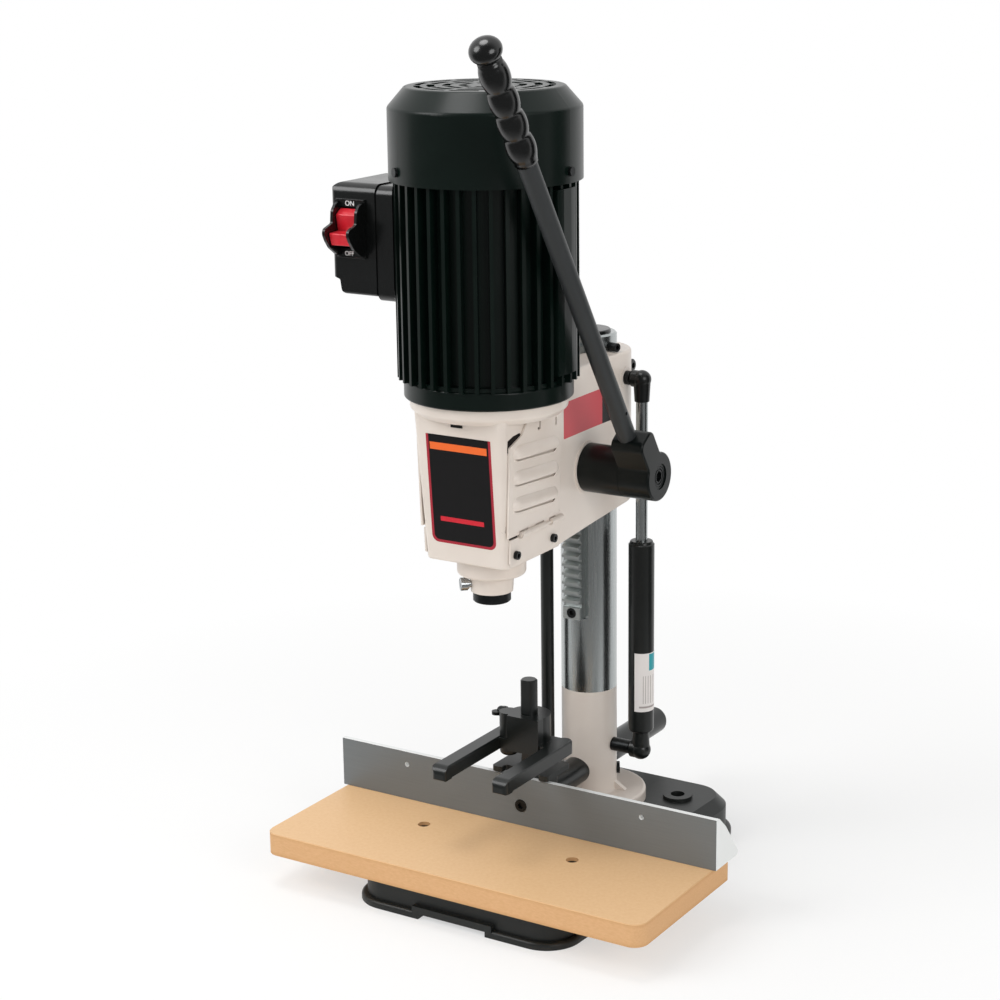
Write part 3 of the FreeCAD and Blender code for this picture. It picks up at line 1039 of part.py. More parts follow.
def switch_opening(spare):
    half_w, half_h = SWITCH_W / 2 + spare, SWITCH_H / 2 + spare
    return [(SWITCH_X - half_w, SWITCH_Z - half_h), (SWITCH_X + half_w, SWITCH_Z - half_h),
            (SWITCH_X + half_w, SWITCH_Z + half_h), (SWITCH_X - half_w, SWITCH_Z + half_h)]


def switch_box_cover():
    """The outer half, a moulded cap with a step at its lower corner and a rounded brow."""
    y0, y1 = box_front_y(), SPINDLE_Y + BOX_HALF_DEPTH
    low, top, out = BOX_LOW_Z, BOX_TOP_Z, BOX_OUTER_X
    shape = front([(out, low + 13.5, 3), (out + 7.3, low + 11.5, 2), (out + 9, low, 5), (BOX_SEAM_X, low),
                   (BOX_SEAM_X, top), (out, top, 9)], y0, y1)
    ends = plan([(out, y0, 5), (BOX_SEAM_X + 1, y0), (BOX_SEAM_X + 1, y1), (out, y1, 5)], low - 1, top + 1)
    brow = side([(y0, low, 3), (y1, low, 3), (y1, top, 8), (y0, top, 8)], out - 1, BOX_SEAM_X + 1)
    shape = shape.common(ends).common(brow)
    w = BOX_WALL
    inner = front([(out + w, low + 15.5, 2), (out + 7.3 + w, low + 13.5, 2), (out + 9 + w, low + w, 4),
                   (BOX_SEAM_X + 1, low + w), (BOX_SEAM_X + 1, top - w), (out + w, top - w, 6)], y0 + w,
                   y1 - w)
    inner = inner.common(side([(y0 + w, low), (y1 - w, low), (y1 - w, top - w, 5), (y0 + w, top - w, 5)],
                              out, BOX_SEAM_X + 2))
    opening = front(switch_opening(-1.5), y0 - 1, y0 + w + 1)
    return cut_all(shape, [inner, opening])


def cheek_profile():
    """The side view of the switch's finger guard, as (out, up) corners."""
    return [(0, 21), (6, 18.5, 3), (9.5, 14, 4), (10.5, 4.5, 2), (20.8, 1.2, 3), (21.5, -3, 5), (19, -8, 8),
            (14.5, -14, 8), (6, -20, 5), (0, -21.5)]


def switch_bezel():
    y0 = box_front_y()
    plate = front(switch_opening(0), y0 - 1.6, y0 - 0.02)
    body = front(switch_opening(-1.7), y0 - 1, y0 + 24)
    shape = fused([plate, body])
    half_room = PADDLE_W / 2 + 0.6
    room = front([(SWITCH_X - half_room, SWITCH_Z - 16), (SWITCH_X + half_room, SWITCH_Z - 16),
                  (SWITCH_X + half_room, SWITCH_Z + 16.5), (SWITCH_X - half_room, SWITCH_Z + 16.5)], y0 - 3,
                  y0 + 16)
    cheeks = []
    for x in (SWITCH_X - half_room - CHEEK_T, SWITCH_X + half_room):
        cheeks.append(side([(y0 - 1 - p[0], SWITCH_Z + p[1]) + tuple(p[2:]) for p in cheek_profile()], x,
                           x + CHEEK_T))
    shape = fused([shape.cut(room)] + cheeks)
    return shape.cut(rod(1.5 + RUN, (SWITCH_X - SWITCH_W / 2 + 1.8, y0 + 4, SWITCH_Z), X_AXIS,
                         SWITCH_W - 3.6))


def paddle_y(out):
    return box_front_y() - out


def switch_paddle():
    """The rocker; it turns on its own pivot pin."""
    half = PADDLE_W / 2
    rocker = side([(paddle_y(0.5), SWITCH_Z + 15.5, 1), (paddle_y(7.2), SWITCH_Z + 10.9, 1),
                   (paddle_y(6.0), SWITCH_Z + 2, 1), (paddle_y(5.2), SWITCH_Z - 1.5),
                   (paddle_y(3.0), SWITCH_Z - 14, 1),
                   (paddle_y(-5), SWITCH_Z - 9, 2), (paddle_y(-9), SWITCH_Z, 3),
                   (paddle_y(-5), SWITCH_Z + 9, 2)],
                  SWITCH_X - half, SWITCH_X + half)
    pin = rod(1.5, (SWITCH_X - SWITCH_W / 2 + 2.4, box_front_y() + 4, SWITCH_Z), X_AXIS, SWITCH_W - 4.8)
    slot = block(SWITCH_X - 3.1, SWITCH_X + 3.1, paddle_y(8), paddle_y(-2), SWITCH_Z - 8.1, SWITCH_Z - 3.9)
    return fused([rocker, pin]).cut(slot)


def switch_key():
    """The pull-out safety key that makes the lower half of the rocker."""
    half = PADDLE_W / 2 - 0.2
    cap = side([(paddle_y(5.55), SWITCH_Z - 1.6), (paddle_y(17.3), SWITCH_Z - 2.4, 1),
                (paddle_y(14.8), SWITCH_Z - 11.8, 1), (paddle_y(3.45), SWITCH_Z - 14)], SWITCH_X - half,
                SWITCH_X + half)
    tongue = block(SWITCH_X - 3, SWITCH_X + 3, paddle_y(8), paddle_y(-1.8), SWITCH_Z - 8, SWITCH_Z - 4)
    return fused([cap, tongue])


# ================================================================ pinion and handle
def gear_flank(radius_base, radius, half_angle_base):
    """A point of the involute at a radius: its angle from the tooth's middle."""
    roll = math.sqrt(max((radius / radius_base) ** 2 - 1, 0.0))
    return half_angle_base - (roll - math.atan(roll))


def pinion_gear():
    """A spur gear with involute teeth and one tooth facing the rack."""
    pitch_r = MODULE * PINION_TEETH / 2
    pressure = math.radians(20)
    base_r = pitch_r * math.cos(pressure)
    tip_r, root_r = pitch_r + MODULE, pitch_r - 1.25 * MODULE
    involute = math.tan(pressure) - pressure
    half_at_base = math.pi / (2 * PINION_TEETH) - BACKLASH / pitch_r + involute
    steps = 5
    radii = [max(base_r, root_r) + (tip_r - max(base_r, root_r)) * i / steps for i in range(steps + 1)]
    points = []
    for tooth in range(PINION_TEETH):
        middle = 2 * math.pi * tooth / PINION_TEETH
        rising = [(root_r, middle - half_at_base)] + [(r,
                                                       middle - gear_flank(base_r, r,
                                                                           half_at_base)) for r in radii]
        falling = [(r, middle + gear_flank(base_r, r, half_at_base)) for r in reversed(radii)] + [(root_r,
                                                                                                   middle + half_at_base)]
        points += [V(-PINION_W / 2, PINION_Y + r * math.cos(a), PINION_Z + r * math.sin(a)) for r,
                   a in rising + falling]
    wire = Part.makePolygon(points + [points[0]])
    gear = Part.Face(wire).extrude(V(PINION_W, 0, 0))
    return gear.cut(rod(PINION_SHAFT_R + SEAT, (-40, PINION_Y, PINION_Z), X_AXIS, 80))


def pinion_bushings():
    spans = [(-ARM_HALF + 5.5, -PINION_ROOM_HALF - 0.3), (PINION_ROOM_HALF + 0.3, ARM_HALF + 1.2)]
    return [ring(BUSH_R, PINION_SHAFT_R + RUN, (x0, PINION_Y, PINION_Z), X_AXIS, x1 - x0) for x0,
            x1 in spans]


def on_pinion_axis(radius, x0, x1):
    return rod(radius, (x0, PINION_Y, PINION_Z), X_AXIS, x1 - x0)


def pinion_shaft():
    """Round through the head and the drive hub, then a hexagon, then a neck for the handle hub."""
    shaft = on_pinion_axis(PINION_SHAFT_R, -ARM_HALF + 6, HUB_SEAM_X)
    drive = hex_bar(CLUTCH_HEX, (HUB_SEAM_X - 1, PINION_Y, PINION_Z), X_AXIS, CLUTCH_LEN + 1)
    neck = on_pinion_axis(NECK_R, HUB_SEAM_X, SCREW_SEAT_X)
    return fused([shaft, drive, neck]).cut(on_pinion_axis(HUB_SCREW_R + SEAT, SCREW_SEAT_X - 15,
                                                          SCREW_SEAT_X + 1))


def drive_hub():
    """The inner half of the black hub, fixed to the pinion shaft."""
    start = ARM_HALF + 1.5 + GAP
    hub = turned([(0, 0), (HUB_R, 0), (HUB_R, HUB_SEAM_X - start, 0.8), (0, HUB_SEAM_X - start)],
                 (start, PINION_Y, PINION_Z), X_AXIS)
    return hub.cut(rod(PINION_SHAFT_R + SEAT, (0, PINION_Y, PINION_Z), X_AXIS, 100))


def handle_direction():
    lean = math.radians(HANDLE_LEAN)
    return V(0, -math.sin(lean), math.cos(lean))


def hub_outline():
    """The hub's round end with the lug that holds the rod, drawn with the rod upright."""
    foot = math.sqrt(HUB_R ** 2 - LUG_HALF ** 2)
    round_end = Part.makeCylinder(HUB_R, HUB_END_X - HUB_SEAM_X - 0.05)
    lug = Part.makeBox(LUG_TOP, 2 * LUG_HALF, HUB_END_X - HUB_SEAM_X - 0.05, V(0, -LUG_HALF, 0))
    shape = fused([round_end, lug])
    creases = edges_at(shape, lambda p: abs(p.x - foot) < 0.01)
    shape = shape.makeFillet(5.0, creases)
    tips = edges_at(shape, lambda p: p.x > LUG_TOP - 0.01 and abs(abs(p.y) - LUG_HALF) < 0.01)
    return shape.makeFillet(LUG_CORNER, tips)


def handle_hub():
    """The outer half: it pulls out on the shaft's hexagon, turns, and drops back in."""
    start = HUB_SEAM_X + 0.05
    hub = hub_outline()
    outer = edges_at(hub, lambda p: p.z > HUB_END_X - start - 0.01)
    hub = hub.makeFillet(1.8, outer)
    axis = handle_direction()
    across = X_AXIS.cross(axis)
    turn = FreeCAD.Matrix(axis.x, across.x, 1, start, axis.y, across.y, 0, PINION_Y, axis.z, across.z, 0,
                          PINION_Z)
    hub.Placement = FreeCAD.Placement(turn)
    centre = V(HANDLE_X, PINION_Y, PINION_Z)
    tools = [hex_bar(CLUTCH_HEX + 2 * RUN, (start - 1, PINION_Y, PINION_Z), X_AXIS, CLUTCH_LEN + 1.2),
             on_pinion_axis(NECK_R + RUN, start, HUB_END_X),
             on_pinion_axis(SPRING_ROOM_R, SPRING_ROOM_X, HUB_END_X + 1),
             on_pinion_axis(SPRING_ROOM_R + 2, HUB_END_X - 1.0, HUB_END_X + 1),
             rod(HANDLE_ROD_R + SEAT, centre + axis * ROD_SEAT, axis, 60)]
    return cut_all(hub, tools)


def hub_screw():
    """Keeps the handle hub on the shaft; the clutch spring lies behind its head."""
    seat = V(SCREW_SEAT_X, PINION_Y, PINION_Z)
    screw = cap_screw(SCREW_HEAD_R, HUB_END_X - 1.2 - SCREW_SEAT_X, HUB_SCREW_R, 14.0, seat, X_AXIS)
    groove = ring(SCREW_HEAD_R - 1.6, SCREW_HEAD_R - 2.6, (HUB_END_X - 2.0, PINION_Y, PINION_Z), X_AXIS, 5)
    return screw.cut(groove)


def handle_rod():
    axis = handle_direction()
    start = V(HANDLE_X, PINION_Y, PINION_Z) + axis * (ROD_SEAT + 0.05)
    bar = rod(HANDLE_ROD_R, start, axis, GRIP_START + 60 - ROD_SEAT)
    hole = rod(1.6, V(HANDLE_X - 20, PINION_Y, PINION_Z) + axis * 69, X_AXIS, 40)
    return bar.cut(hole)


def handle_grip():
    """A moulded grip: a ball end and a row of finger bulges."""
    bulge_step = (GRIP_LEN - 22.5) / BULGE_COUNT + 1.7
    points = [(0, 0), (8.7, 0)]
    for i in range(BULGE_COUNT):
        middle = 12.5 + i * bulge_step
        points += [(BULGE_R, middle + 1.5, 9), (9.4, middle + bulge_step / 2 + 1.5, 4)]
    points = points[:-1] + [(8.8, GRIP_LEN - 11.5, 2)]
    profile = outline(corners(points[1:-1] + [(9.2, GRIP_LEN - 9)] + [(0, GRIP_LEN - 9), (0, 0)]),
                      lambda p: V(p.x, 0, p.y))
    body = Part.Face(profile).revolve(V(0, 0, 0), Z_AXIS, 360)
    ball = Part.makeSphere(BALL_R, V(0, 0, GRIP_LEN))
    bore = Part.makeCylinder(HANDLE_ROD_R + SEAT, 60.1, V(0, 0, 0))
    grip = fused([body, ball]).cut(bore)
    start = V(HANDLE_X, PINION_Y, PINION_Z) + handle_direction() * GRIP_START
    grip.Placement = FreeCAD.Placement(start, FreeCAD.Rotation(Z_AXIS, handle_direction()))
    return grip


# ================================================================ head lock
def lock_lever():
    """The clamp bolt, its head on the right, and the lever and knob that turn it on the left."""
    start = V(-CLAMP_HALF - GAP, CLAMP_Y, CLAMP_Z)
    hub = rod(LOCK_HUB_R, start, X_AXIS * -1, 13)
    bolt = rod(CLAMP_BOLT_R, start, X_AXIS, 2 * CLAMP_HALF + GAP + 1)
    head = rod(CLAMP_HEAD_R, V(CLAMP_HALF + 0.05, CLAMP_Y, CLAMP_Z), X_AXIS, 7.95)
    head = head.makeChamfer(1.0, edges_at(head, lambda p: p.x > CLAMP_HALF + 7.9))
    head = head.cut(hex_bar(5.0, (CLAMP_HALF + 4, CLAMP_Y, CLAMP_Z), X_AXIS, 10))
    lean = V(-0.3, 0.5, -0.8).normalize()
    arm_start = start - X_AXIS * 7
    arm = turned([(0, 0), (4.2, 0), (3.4, 46), (0, 46)], arm_start, lean)
    knob = Part.makeSphere(7.5, arm_start + lean * 48)
    return fused([hub, bolt, head, arm, knob])


# ================================================================ gas strut
def strut_cylinder():
    low, top = STRUT_TUBE_Z
    tube = turned([(0, low), (STRUT_TUBE_R, low, 3), (STRUT_TUBE_R, top - 3), (STRUT_TUBE_R - 1, top - 2.2),
                   (STRUT_TUBE_R - 1.5, top, 1), (0, top)], (STRUT_X, 0, 0))
    tools = [rod(STRUT_BORE_R, (STRUT_X, 0, low + 6), Z_AXIS, top - low - 16),
             rod(STRUT_ROD_R + RUN, (STRUT_X, 0, low + 6), Z_AXIS, 300)]
    return cut_all(tube, tools)


def strut_rod():
    """The rod and its piston, which go down into the cylinder with the head."""
    piston_top = STRUT_TUBE_Z[1] - 12
    rod_shape = rod(STRUT_ROD_R, (STRUT_X, 0, piston_top - 9), Z_AXIS, SOCKET_END_Z + 12 - piston_top + 9)
    piston = rod(STRUT_BORE_R - GAP, (STRUT_X, 0, piston_top - 9), Z_AXIS, 9)
    return fused([rod_shape, piston])


def ball_socket(ball_z, neck_z, body_r, barrel_r, neck_ends, thread_r):
    """An end fitting: an elbow over the ball stud, with a neck towards the strut."""
    way = 1 if neck_z > ball_z else -1
    length = abs(neck_z - ball_z)
    body = Part.makeSphere(body_r, V(STRUT_X, 0, ball_z))
    barrel = rod(barrel_r, (STRUT_X - 8.2, 0, ball_z), X_AXIS, 10)
    neck = turned([(0, 0), (neck_ends[0], 0), (neck_ends[1], length), (0, length)], (STRUT_X, 0, ball_z),
                  Z_AXIS * way)
    ball = Part.makeSphere(5.0 + SEAT, V(STRUT_X, 0, ball_z))
    stud = rod(3.6, (STRUT_X - 20, 0, ball_z), X_AXIS, 20)
    thread = rod(thread_r + SEAT, (STRUT_X, 0, neck_z - way * 12), Z_AXIS * way, 20)
    return cut_all(fused([body, barrel, neck]), [ball, stud, thread])


def strut_upper_socket():
    return ball_socket(STRUT_TOP_Z, SOCKET_END_Z, 7.7, 7.0, (7.3, 6.2), STRUT_ROD_R)


def strut_lower_socket():
    return ball_socket(STRUT_LOW_Z, STRUT_TUBE_Z[0] - 0.02, 8.6, 8.0, (7.8, 7.0), 0.01)


def ball_stud(inner_x, seat_x, ball_z):
    """A threaded stud with a hexagon and a ball."""
    thread = rod(STUD_R, (inner_x, 0, ball_z), X_AXIS, seat_x - inner_x + 1)
    collar = rod(5.9, (seat_x, 0, ball_z), X_AXIS, STRUT_X - 10 - seat_x)
    pin = rod(3.2, (seat_x, 0, ball_z), X_AXIS, STRUT_X - seat_x)
    ball = Part.makeSphere(5.0, V(STRUT_X, 0, ball_z))
    return fused([thread, collar, pin, ball])


def strut_upper_stud():
    return ball_stud(ARM_HALF - 8, ARM_HALF + 0.55, STRUT_TOP_Z)


def strut_lower_stud():
    return ball_stud(COLUMN_R - 11.5, COLUMN_R + 0.02, STRUT_LOW_Z)


# ================================================================ write the pieces
def main():
    os.makedirs("parts", exist_ok=True)
    save("base_casting", base_casting())
    save("foot_bolts", *foot_bolts())
    save("column_foot", column_foot())
    save("rod_lock_screw", rod_lock_screw())
    save("table_board", table_board())
    save("table_screws", *table_screws())
    save("column_tube", column_tube())
    save("column_plug", column_plug())
    save("rack", rack())
    save("column_screws", *column_screws())
    save("depth_stop_rod", depth_stop_rod())
    save("depth_stop_collar", depth_stop_collar())
    save("depth_stop_screw", depth_stop_screw())
    save("fence_casting", fence_casting())
    save("fence_bolt", fence_bolt())
    save("fence_rod", fence_rod())
    save("holddown_bracket", holddown_bracket())
    save("holddown_post", holddown_post())
    save("holddown_fork", holddown_fork())
    save("holddown_thumbscrew", holddown_thumbscrew())
    save("head_casting", head_casting())
    save("front_plug", front_plug())
    save("chisel_socket", chisel_socket())
    save("chisel_bushing", chisel_bushing())
    save("chisel_screw", chisel_screw())
    save("right_door", door(1))
    save("left_door", door(-1))
    save("hinge_leaves", hinge_leaf(1), hinge_leaf(-1))
    save("hinge_screws", *hinge_screws())
    save("motor_bell", motor_bell())
    save("motor_body", motor_body())
    save("stator", stator())
    save("motor_rotor", motor_rotor())
    save("motor_top_shield", motor_top_shield())
    save("bearings", *bearings())
    save("cooling_fan", cooling_fan())
    save("fan_cover", fan_cover())
    save("cover_screws", *cover_screws())
    save("drill_chuck", drill_chuck())
    save("chuck_sleeve", chuck_sleeve())
    save("switch_box_base", switch_box_base())
    save("switch_box_cover", switch_box_cover())
    save("switch_bezel", switch_bezel())
    save("switch_paddle", switch_paddle())
    save("switch_key", switch_key())
    save("pinion_gear", pinion_gear())
    save("pinion_bushings", *pinion_bushings())
    save("pinion_shaft", pinion_shaft())
    save("drive_hub", drive_hub())
    save("handle_hub", handle_hub())
    save("hub_screw", hub_screw())
    save("handle_rod", handle_rod())
    save("handle_grip", handle_grip())
    save("head_lock_lever", lock_lever())
    save("strut_cylinder", strut_cylinder())
    save("strut_rod", strut_rod())
    save("strut_upper_socket", strut_upper_socket())
    save("strut_lower_socket", strut_lower_socket())
    save("strut_upper_stud", strut_upper_stud())
    save("strut_lower_stud", strut_lower_stud())


main()
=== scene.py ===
# %% [markdown]
# # A benchtop mortiser
# A mortiser presses a square hollow chisel into wood while a bit inside it drills
# the waste away. The castings, the motor, the column and the moving pieces come
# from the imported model, so this lesson is about how they look: the finish of each
# piece, the labels stuck on them, and the light that shows them.

# %% Load the frame
import math

import bmesh
import bpy
from mathutils import Matrix, Vector
from mathutils.bvhtree import BVHTree


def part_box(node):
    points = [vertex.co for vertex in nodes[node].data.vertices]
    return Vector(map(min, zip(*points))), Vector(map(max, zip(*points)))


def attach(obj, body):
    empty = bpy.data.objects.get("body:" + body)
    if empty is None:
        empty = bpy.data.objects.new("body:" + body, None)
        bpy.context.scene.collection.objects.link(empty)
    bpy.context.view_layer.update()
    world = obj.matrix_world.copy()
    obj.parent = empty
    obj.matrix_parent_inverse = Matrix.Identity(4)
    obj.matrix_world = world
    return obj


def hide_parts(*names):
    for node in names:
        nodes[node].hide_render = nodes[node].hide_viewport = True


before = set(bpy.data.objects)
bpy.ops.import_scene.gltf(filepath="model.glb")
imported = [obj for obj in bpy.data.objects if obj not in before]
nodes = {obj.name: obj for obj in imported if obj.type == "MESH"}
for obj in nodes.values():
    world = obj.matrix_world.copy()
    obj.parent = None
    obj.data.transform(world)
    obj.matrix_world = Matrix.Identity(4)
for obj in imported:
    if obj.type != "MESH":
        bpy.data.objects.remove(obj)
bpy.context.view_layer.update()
MM = 0.001

# %% [markdown]
# Paint makers give colours as hex codes, which are sRGB values. A renderer adds up
# light, so it wants them linear. One function does that change for every colour.
# A second one adds a node to a material with its settings and its links, and a
# third starts a finish and hands back what its recipe needs.


# %% Colour and node helpers
def linear(code):
    """A hex colour as linear red, green, blue and alpha."""
    values = [int(code[i:i + 2], 16) / 255 for i in (1, 3, 5)]
    return [v / 12.92 if v <= 0.04045 else ((v + 0.055) / 1.055) ** 2.4 for v in values] + [1.0]


def add(tree, kind, settings=None, links=None):
    """A new node; settings name its properties or sockets, links name its inputs."""
    node = tree.nodes.new("ShaderNode" + kind)
    for name, value in (settings or {}).items():
        if isinstance(name, int) or name in node.inputs:
            node.inputs[name].default_value = value
        else:
            setattr(node, name, value)
    for name, socket in (links or {}).items():
        tree.links.new(socket, node.inputs[name])
    return node


def per_mm(size):
    """The texture scale that makes one feature this many millimetres across."""
    return 1.0 / (size * MM)


def start_finish(name, colour, roughness, metallic=0.0, **sockets):
    """A material with a Principled shader; returns it, its tree, the shader and object coordinates."""
    material = bpy.data.materials.new(name)
    material.use_nodes = True
    tree = material.node_tree
    shader = tree.nodes["Principled BSDF"]
    shader.inputs["Base Color"].default_value = linear(colour)
    shader.inputs["Roughness"].default_value = roughness
    shader.inputs["Metallic"].default_value = metallic
    for socket, value in sockets.items():
        shader.inputs[socket.replace("_", " ")].default_value = value
    place = add(tree, "TexCoord").outputs["Object"]
    return material, tree, shader, place


def feed(tree, shader, **sockets):
    """Link outputs into the finish's shader."""
    for name, socket in sockets.items():
        tree.links.new(socket, shader.inputs[name.replace("_", " ")])


# %% [markdown]
# **Cream enamel on cast iron.** The head and the column's foot are sand castings,
# filled, sanded and sprayed. Two things give that away: the broad unevenness of a
# casting, some 15 mm across, and the fine orange peel of sprayed enamel. Both are
# only bump. Real orange peel is about 1 mm across, drawn here at 2 mm so it shows.
# One flat tint would look like plastic, so it drifts a little over 45 mm.

# %% Cream enamel
cream_enamel, tree, shader, place = start_finish("Cream enamel on cast iron", "#DCD1C7", 0.3, IOR=1.5)
patches = add(tree, "TexNoise", {"Scale": per_mm(45)}, {"Vector": place})
tint = add(tree, "Mix", {"data_type": "RGBA", 6: linear("#D3C6BB"), 7: linear("#E5DCD3")},
           {0: patches.outputs["Fac"]})
casting = add(tree, "TexNoise", {"Scale": per_mm(15)}, {"Vector": place})
peel = add(tree, "TexNoise", {"Scale": per_mm(2.0)}, {"Vector": place})
skin = add(tree, "Bump", {"Distance": 0.12 * MM}, {"Height": casting.outputs["Fac"]})
skin = add(tree, "Bump", {"Distance": 0.012 * MM},
           {"Height": peel.outputs["Fac"], "Normal": skin.outputs["Normal"]})
feed(tree, shader, Base_Color=tint.outputs[2], Normal=skin.outputs["Normal"])
print("made", cream_enamel.name)

# %% [markdown]
# **Black enamels.** Six coats, one kind of finish. The base and the hold-down's bracket
# are castings with a thick satin coat that leaves the sand's grain, and the fork and
# the rods are smoother under theirs. The motor's coat has green in its black and lies
# smoother on aluminium. The hubs and the strut's tube are turned first, so only the
# spray's own skin is left on them. One function holds the recipe, and each call says
# how coarse the skin is.


# %% Black enamels
def black_coat(name, codes, roughness, level, grain_mm, depth_mm):
    """Sprayed black: two tints that drift, a roughness that drifts and the grain of the coat."""
    material, tree, shader, place = start_finish(name, codes[0], roughness, IOR=1.5, Specular_IOR_Level=level)
    patches = add(tree, "TexNoise", {"Scale": per_mm(30), "Detail": 3.0}, {"Vector": place})
    tint = add(tree, "Mix", {"data_type": "RGBA", 6: linear(codes[0]), 7: linear(codes[1])},
               {0: patches.outputs["Fac"]})
    sheen = add(tree, "MapRange", {"To Min": roughness - 0.05, "To Max": roughness + 0.05},
                {"Value": patches.outputs["Fac"]})
    grain = add(tree, "TexNoise", {"Scale": per_mm(grain_mm)}, {"Vector": place})
    skin = add(tree, "Bump", {"Distance": depth_mm * MM}, {"Height": grain.outputs["Fac"]})
    feed(tree, shader, Base_Color=tint.outputs[2], Roughness=sheen.outputs["Result"],
         Normal=skin.outputs["Normal"])
    print("made", name)
    return material


cast_black = black_coat("Satin black enamel on cast iron", ("#161817", "#222524"), 0.42, 0.4, 2.2, 0.06)
tool_black = black_coat("Black enamel on a ground casting", ("#0C0F0E", "#161A19"), 0.3, 0.45, 1.8, 0.02)
motor_green = black_coat("Black-green enamel on aluminium", ("#040F0B", "#0A1713"), 0.3, 0.25, 2.2, 0.012)
hub_black = black_coat("Black-green enamel on turned iron", ("#060B0A", "#0B1211"), 0.3, 0.25, 1.5, 0.008)
rod_grey = black_coat("Grey-black enamel on steel rod", ("#2A2C2D", "#333637"), 0.45, 0.4, 1.2, 0.01)
strut_black = black_coat("Satin black enamel on steel tube", ("#101211", "#171A19"), 0.3, 0.4, 1.6, 0.006)

# %% [markdown]
# **Moulded plastics.** The switch box is ABS from a lightly sparked mould: glossy, with
# a grain that frays the highlight. The real grain is 0.4 mm across and is drawn at
# 1 mm to show. The hand grip is soft PVC dipped over the rod: it has no grain, only the
# broad ripple of a coat that ran. The switch's red parts come from a polished mould,
# and red ABS lets light a little way in.

# %% Plastics
box_abs, tree, shader, place = start_finish("Grained black ABS", "#0C0E0E", 0.24, IOR=1.53)
cells = add(tree, "TexVoronoi", {"Scale": per_mm(1.0)}, {"Vector": place})
skin = add(tree, "Bump", {"Distance": 0.012 * MM}, {"Height": cells.outputs["Distance"]})
patches = add(tree, "TexNoise", {"Scale": per_mm(25)}, {"Vector": place})
sheen = add(tree, "MapRange", {"To Min": 0.18, "To Max": 0.3}, {"Value": patches.outputs["Fac"]})
feed(tree, shader, Roughness=sheen.outputs["Result"], Normal=skin.outputs["Normal"])

grip_pvc, tree, shader, place = start_finish("Dipped black PVC", "#070808", 0.2, IOR=1.54)
flow = add(tree, "TexNoise", {"Scale": per_mm(14)}, {"Vector": place})
skin = add(tree, "Bump", {"Distance": 0.25 * MM}, {"Height": flow.outputs["Fac"]})
sheen = add(tree, "MapRange", {"To Min": 0.14, "To Max": 0.26}, {"Value": flow.outputs["Fac"]})
feed(tree, shader, Roughness=sheen.outputs["Result"], Normal=skin.outputs["Normal"])

red_abs, tree, shader, place = start_finish("Glossy red ABS", "#CE1F30", 0.16, IOR=1.53,
                                            Subsurface_Weight=0.15)
shader.inputs["Subsurface Radius"].default_value = (2.0 * MM, 0.4 * MM, 0.3 * MM)
shader.inputs["Subsurface Scale"].default_value = 1.0
flow = add(tree, "TexNoise", {"Scale": per_mm(8)}, {"Vector": place})
tint = add(tree, "Mix", {"data_type": "RGBA", 6: linear("#BF1228"), 7: linear("#E03A42")},
           {0: flow.outputs["Fac"]})
skin = add(tree, "Bump", {"Distance": 0.01 * MM}, {"Height": flow.outputs["Fac"]})
feed(tree, shader, Base_Color=tint.outputs[2], Normal=skin.outputs["Normal"])
print("made", box_abs.name, grip_pvc.name, red_abs.name)

# %% [markdown]
# **Ground, milled and turned steel.** A cutting tool leaves lines along its path, and
# a metal shows them as streaks in its reflections. The column and the strut's rod are
# ground and chromed, so their streaks run up and down and are faint. The rack's cutter
# ran across it. Turned pieces have rings so fine that little but roughness is left.


# %% Bare steels
def cut_steel(name, codes, roughness, line_mm, stretch, depth_mm):
    """Bare metal with the lines of its cutter; stretch scales the axes of the pattern."""
    material, tree, shader, place = start_finish(name, codes[0], roughness[0], 1.0)
    along = add(tree, "Mapping", {"Scale": stretch}, {"Vector": place})
    lines = add(tree, "TexNoise", {"Scale": per_mm(line_mm), "Detail": 3.0},
                {"Vector": along.outputs["Vector"]})
    tint = add(tree, "Mix", {"data_type": "RGBA", 6: linear(codes[0]), 7: linear(codes[1])},
               {0: lines.outputs["Fac"]})
    sheen = add(tree, "MapRange", {"To Min": roughness[0], "To Max": roughness[1]},
                {"Value": lines.outputs["Fac"]})
    skin = add(tree, "Bump", {"Distance": depth_mm * MM}, {"Height": lines.outputs["Fac"]})
    feed(tree, shader, Base_Color=tint.outputs[2], Roughness=sheen.outputs["Result"],
         Normal=skin.outputs["Normal"])
    print("made", name)
    return material


UPRIGHT, ACROSS, EVEN = (1.0, 1.0, 0.04), (0.05, 1.0, 1.0), (1.0, 1.0, 1.0)
chrome_plate = cut_steel("Ground hard chrome", ("#A3A8A8", "#B8BCBC"), (0.2, 0.32), 1.4, UPRIGHT, 0.002)
milled_steel = cut_steel("Milled steel, oiled", ("#AEB3B2", "#CACECD"), (0.3, 0.45), 0.9, ACROSS, 0.01)
turned_steel = cut_steel("Turned steel", ("#A4A8AA", "#C2C6C8"), (0.2, 0.34), 0.8, EVEN, 0.0012)

# %% [markdown]
# **Black oxide.** The screws, the ball studs and the chisel's bushing are blackened in
# hot salts. The bath turns the surface to a dark oxide that is still a metal
# underneath, so it stays mostly metallic, and it takes unevenly, which shows as cloudy
# roughness. The stator inside the motor is a stack of sheets, drawn as level bands. A
# wave texture repeats about every 0.31 of its scale, so 6.3 mm puts them 2 mm apart.

